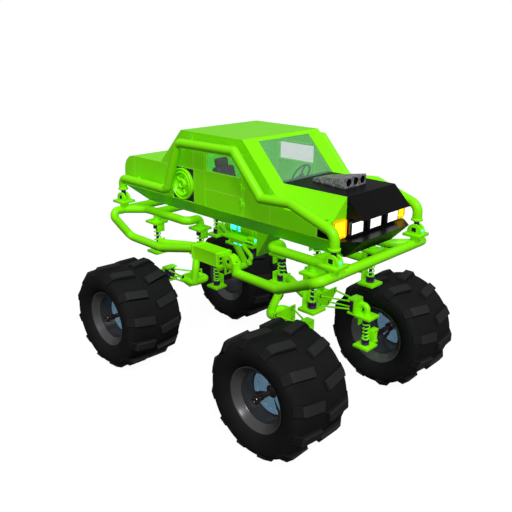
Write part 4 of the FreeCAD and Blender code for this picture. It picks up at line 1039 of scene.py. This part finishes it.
def plateTab(x, y, low, high, flareLow):
    # an upright tab with a wider foot where it meets its plate
    half = coilover["tabHalf"]
    return [block((x, y, (low + high) / 2), (0.0098, half, (high - low) / 2), 0.004),
            block((x, y, flareLow + 0.011), (0.017, half - 0.006, 0.011), 0.006)]


def buildCoilovers():
    c = coilover
    tabX, half, thin = c["tabX"], c["half"], c["thick"] / 2
    springs, dampers, plates, hubPlates = [], [], [], []
    for x, y, foot, top, tabTop, ways in c["places"]:
        low, high = foot + c["thick"], top - c["thick"]
        z0, z1 = low + c["gap"], high - c["gap"]
        springs.append(helix(x, y, z0, z1))
        springs += [collar((x, y, z), up, c["seatR"], 0.01, 28, 0.0065, 0.001) for z in (z0 + 0.005, z1 - 0.005)]
        dampers.append(turnedPiece(damper(low, z0, z1, high), (x, y, 0), up, 32))
        plates.append(block((x, y, top - thin), (half, half, thin), 0.004))
        plates += plateTab(x - tabX, y, high - 0.135, high + 0.003, high - 0.019)
        footPlates = plates if ways else hubPlates
        footPlates.append(block((x, y, foot + thin), (half, half, thin), 0.004))
        for way in ways:
            plates += plateTab(x + way * tabX, y, low - 0.003, tabTop, low - 0.003)
    return springs, dampers, plates, hubPlates


springs, dampers, plates, hubPlates = buildCoilovers()
finishPiece(springs, "coil_springs", mirror="XY")
finishPiece(dampers, "dampers", purplePaint, mirror="XY")
finishPiece(plates, "spring_plates", mirror="XY")

# each rod's end on the link plate, then its end on the carrier's core
linkEnds = [((1.035, 0.315, 1.445), (1.445, 0.5, 1.43)), ((1.035, 0.655, 1.445), (1.445, 0.6, 1.43)),
            ((1.035, 0.315, 1.29), (1.445, 0.5, 1.305)), ((1.035, 0.52, 1.29), (1.445, 0.58, 1.305))]


def linkRod(start, end):
    way = Vector(end) - Vector(start)
    half = way.length / 2
    profile = bothWays([(-half, 0.012), (0.004 - half, 0.0158), (0.04 - half, 0.0158), (0.046 - half, 0.0138)])
    return turnedPiece(profile, Vector(start) + way / 2, way, 20)


finishPiece([linkRod(*ends) for ends in linkEnds], "link_rods", mirror="XY")

carrier = {
    "low": (1.42, 0.455, 1.245), "high": (1.55, 0.665, 1.49), "wall": 0.024, "step": 0.025, "pipeR": 0.045,
    "elbow": [(1.538, 0.63, 1.38), (1.66, 0.63, 1.38), (1.66, 0.63, 1.243)], "bend": 0.064,
}


def buildCarrier():
    # two level plates and one upright plate round a dark core, and the elbow to the wheel coilover
    c = carrier
    low, high, wall, step = Vector(c["low"]), Vector(c["high"]), c["wall"], c["step"]
    box = easeEdges(plainBox(low, high), 0.003)
    cutAway(box, plainBox((low.x - 0.01, low.y - 0.01, low.z + wall), (high.x - wall, high.y + 0.01, high.z - wall)))
    parts = [box, bentTube(c["elbow"], c["pipeR"], [c["bend"]], 28, 0.02),
             collar((1.557, 0.63, 1.38), forward, 0.054, 0.013), collar((1.66, 0.63, 1.251), up, 0.056, 0.016)]
    core = bevelledBox((low.x + step, low.y + step, low.z + wall - 0.001),
                       (high.x - wall + 0.001, high.y - step, high.z - wall + 0.001), 0.003)
    return parts + [paint(core, purplePaint)]


finishPiece(buildCarrier(), "wheel_carriers", mirror="XY")

axle = {
    "x": 1.668, "z": 0.838, "webHalf": 0.06, "webIn": 0.741, "webOut": 0.761, "kingpin": 0.85, "pinR": 0.02,
    "barrelR": 0.044, "barrelLong": 0.14, "reach": 0.115, "armHalf": 0.045, "armPast": 0.04, "armThick": 0.04,
    "spindleEnd": 1.3898, "drawnFor": 0.64,
    "spindle": [(0.0, 0.036), (0.04, 0.036), (0.044, 0.039), (0.1, 0.039), (0.104, 0.034), (0.128, 0.034),
        (0.132, 0.0395), (0.5, 0.0395), (0.505, 0.034), (0.64, 0.034)],
}


def spindleFrom(x, y, side=1):
    # the spindle's profile stretched to run from y to its end in the wheel
    long = axle["spindleEnd"] - y
    profile = [(along * long / axle["drawnFor"], radius) for along, radius in axle["spindle"]]
    return paint(turnedPiece(profile, (x, side * y, axle["z"]), (0, side, 0), 32), shaftMetal)


def buildAxleBlocks():
    a = axle
    x, z, reach, thin = a["x"], a["z"], a["reach"], a["armThick"] / 2
    web = [block((x, (a["webIn"] + a["webOut"]) / 2, z), (a["webHalf"], (a["webOut"] - a["webIn"]) / 2, reach), 0.004)]
    web += hubPlates
    rear = [copyAt(part, Matrix.Scale(-1, 4, forward)) for part in web]
    inner, outer = a["webIn"] + 0.002, a["kingpin"] + a["armPast"]
    arms = [block((x, (inner + outer) / 2, z + side * (reach - thin)), (a["armHalf"], (outer - inner) / 2, thin))
            for side in (-1, 1)]
    pin = collar((x, a["kingpin"], z), up, a["pinR"], 2 * reach, 24, 0.006, 0.003)
    return web + rear + arms + [pin, spindleFrom(-x, a["webOut"])]


finishPiece(buildAxleBlocks(), "axle_blocks", mirror="Y")
for side, name in ((1, "knuckle_left"), (-1, "knuckle_right")):
    at = (axle["x"], side * axle["kingpin"], axle["z"])
    barrel = collar(at, up, axle["barrelR"], axle["barrelLong"], 32, 0.004, 0.004)
    finishPiece([barrel, spindleFrom(axle["x"], axle["kingpin"], side)], name, body=name)
print("suspension done")

drum = {
    "z": 2.33, "r": 0.165, "back": -0.56, "front": 0.12, "collars": ((-0.415, 0.181, 0.028), (0.02, 0.175, 0.018)),
    "hose": [(-0.15, -0.12, 2.075), (-0.09, -0.19, 2.065), (0.11, -0.215, 1.96), (0.07, -0.235, 1.885)],
    "pump": [(-0.05, 0.018), (-0.044, 0.03), (-0.026, 0.044), (0.0, 0.0465)], "pumpAt": (0.07, -0.235, 1.87),
    "lights": ((-0.415, -0.285, 88), (-0.245, -0.195, 92), (-0.415, -0.285, -88), (-0.245, -0.195, -92)),
    "pod": [(-0.15, 0.026), (-0.144, 0.036), (-0.01, 0.036), (0, 0.03)], "podY": 0.152, "podZ": 2.207,
    "lens": [(-0.004, 0.027), (0.004, 0.027), (0.01, 0.02), (0.013, 0.008)],
}


def sideStrip(side, y, x0, x1, z0, z1):
    # a thin strip let into a side face
    return block(((x0 + x1) / 2, side * y, (z0 + z1) / 2), ((x1 - x0) / 2, 0.003, (z1 - z0) / 2), 0.002)


def buildPower():
    d = drum
    back, front, z, r = d["back"], d["front"], d["z"], d["r"]
    foot = z - r
    body = [(back, 0.138), (back + 0.004, 0.156), (back + 0.018, r), (-0.3, r), (-0.296, r - 0.006),
            (-0.284, r - 0.006), (-0.28, r), (0.06, r), (0.066, 0.148), (0.104, 0.143), (0.116, 0.13), (front, 0.11)]
    parts = [collar((x, 0, z), forward, radius, long) for x, radius, long in d["collars"]]
    parts += [
        turnedPiece(body, (0, 0, z), forward, 56),
        bevelledBox((back + 0.06, -0.13, z), (front - 0.06, 0.13, 2.5148), 0.01),
        bevelledBox((back - 0.04, -0.215, foot - 0.026), (front + 0.03, 0.215, foot + 0.004), 0.006),
        bevelledBox((back + 0.11, -0.15, foot - 0.116), (front - 0.06, 0.15, foot - 0.022), 0.018, 3),
        bentTube(d["hose"], 0.034, [0.05, 0.05], 24), turnedPiece(bothWays(d["pump"]), d["pumpAt"], up, 28),
    ]
    bright, dark = [], []
    for x0, x1, turn in d["lights"]:
        light = bevelledBox((x0, -0.048, r - 0.004), (x1, 0.048, r + 0.006), 0.003)
        light.data.transform(Matrix.Translation((0, 0, z)) @ turnBy(turn, "X"))
        bright.append(light)
    for side in (-1, 1):
        at = (front, side * d["podY"], d["podZ"])
        parts.append(turnedPiece(d["pod"], at, forward, 28))
        bright.append(turnedPiece(d["lens"], at, forward, 28))
        bright += [sideStrip(side, 0.1495, x, x + 0.08, 2.052, 2.074) for x in (-0.36, -0.25)]
        dark.append(sideStrip(side, 0.2145, -0.04, 0.13, 2.143, 2.165))
    return parts + paintAll(bright, cyanGlow) + paintAll(dark, purplePaint)


finishPiece(buildPower(), "power_unit")
print("power unit done")

studio = {"floor": 60.0, "world": 0.24, "sun": 1.25, "fill": 2.15, "sunTilt": (42, 0, 56), "sunSpread": 12,
          "shown": 0.86, "bounce": 0.1, "glow": 1.06}


def buildFloor():
    # white to the camera, dim to the rays that would light the truck from below
    bpy.ops.object.select_all(action="DESELECT")
    bpy.ops.mesh.primitive_plane_add(size=studio["floor"], location=(0, 0, 0))
    floor = applyPlace(bpy.context.object)
    floor.name = "studioFloor"
    finish = Finish("studioFloor")
    dim = (studio["bounce"],) * 3 + (1,)
    pale = finish.mix(finish.maths("MAXIMUM", finish.ray("Diffuse"), finish.ray("Glossy")), (0.8, 0.8, 0.8, 1), dim)
    matt = finish.node("BsdfDiffuse", {"Color": pale})
    light = finish.node("Emission", {"Color": (1, 1, 1, 1), "Strength": studio["glow"]})
    seen = finish.maths("MAXIMUM", finish.ray("Camera"), finish.ray("Transmission")) * studio["shown"]
    paint(floor, finish.output("Material", finish.node("MixShader", {0: seen, 1: matt, 2: light})))


def buildWorld():
    # soft to the truck, white to the camera and through the glass
    finish = Finish("studioWorld", "worlds")
    bpy.context.scene.world = finish.owner
    soft, white = (finish.node("Background", {"Color": (1, 1, 1, 1), "Strength": strength})
                   for strength in (studio["world"], 1.0))
    seen = finish.maths("MAXIMUM", finish.ray("Camera"), finish.ray("Transmission"))
    finish.output("World", finish.node("MixShader", {0: seen, 1: soft, 2: white}))


def buildSuns():
    for energy, shadow in ((studio["sun"], True), (studio["fill"], False)):
        tilt = [math.radians(angle) for angle in studio["sunTilt"]]
        bpy.ops.object.light_add(type="SUN", location=(0, 0, 8), rotation=tilt)
        sun = bpy.context.object
        sun.data.energy = energy
        sun.data.angle = math.radians(studio["sunSpread"])
        sun.data.use_shadow = shadow


buildFloor()
buildWorld()
buildSuns()

view = {"at": (6.3813, -6.452, 5.0928), "turn": -0.7813, "down": 0.3386, "roll": 0.004, "lens": 43.83}


def buildCamera():
    turn, down = view["turn"], view["down"]
    bpy.ops.object.camera_add(location=view["at"])
    camera = bpy.context.object
    ahead = Vector((math.sin(turn) * math.cos(down), math.cos(turn) * math.cos(down), -math.sin(down)))
    camera.rotation_mode = "QUATERNION"
    camera.rotation_quaternion = ahead.to_track_quat("-Z", "Y") @ Matrix.Rotation(view["roll"], 3, "Z").to_quaternion()
    camera.data.lens = view["lens"]
    camera.data.sensor_width = 36
    bpy.context.scene.camera = camera


buildCamera()
bpy.context.scene.view_settings.view_transform = "Standard"
print("stage done")
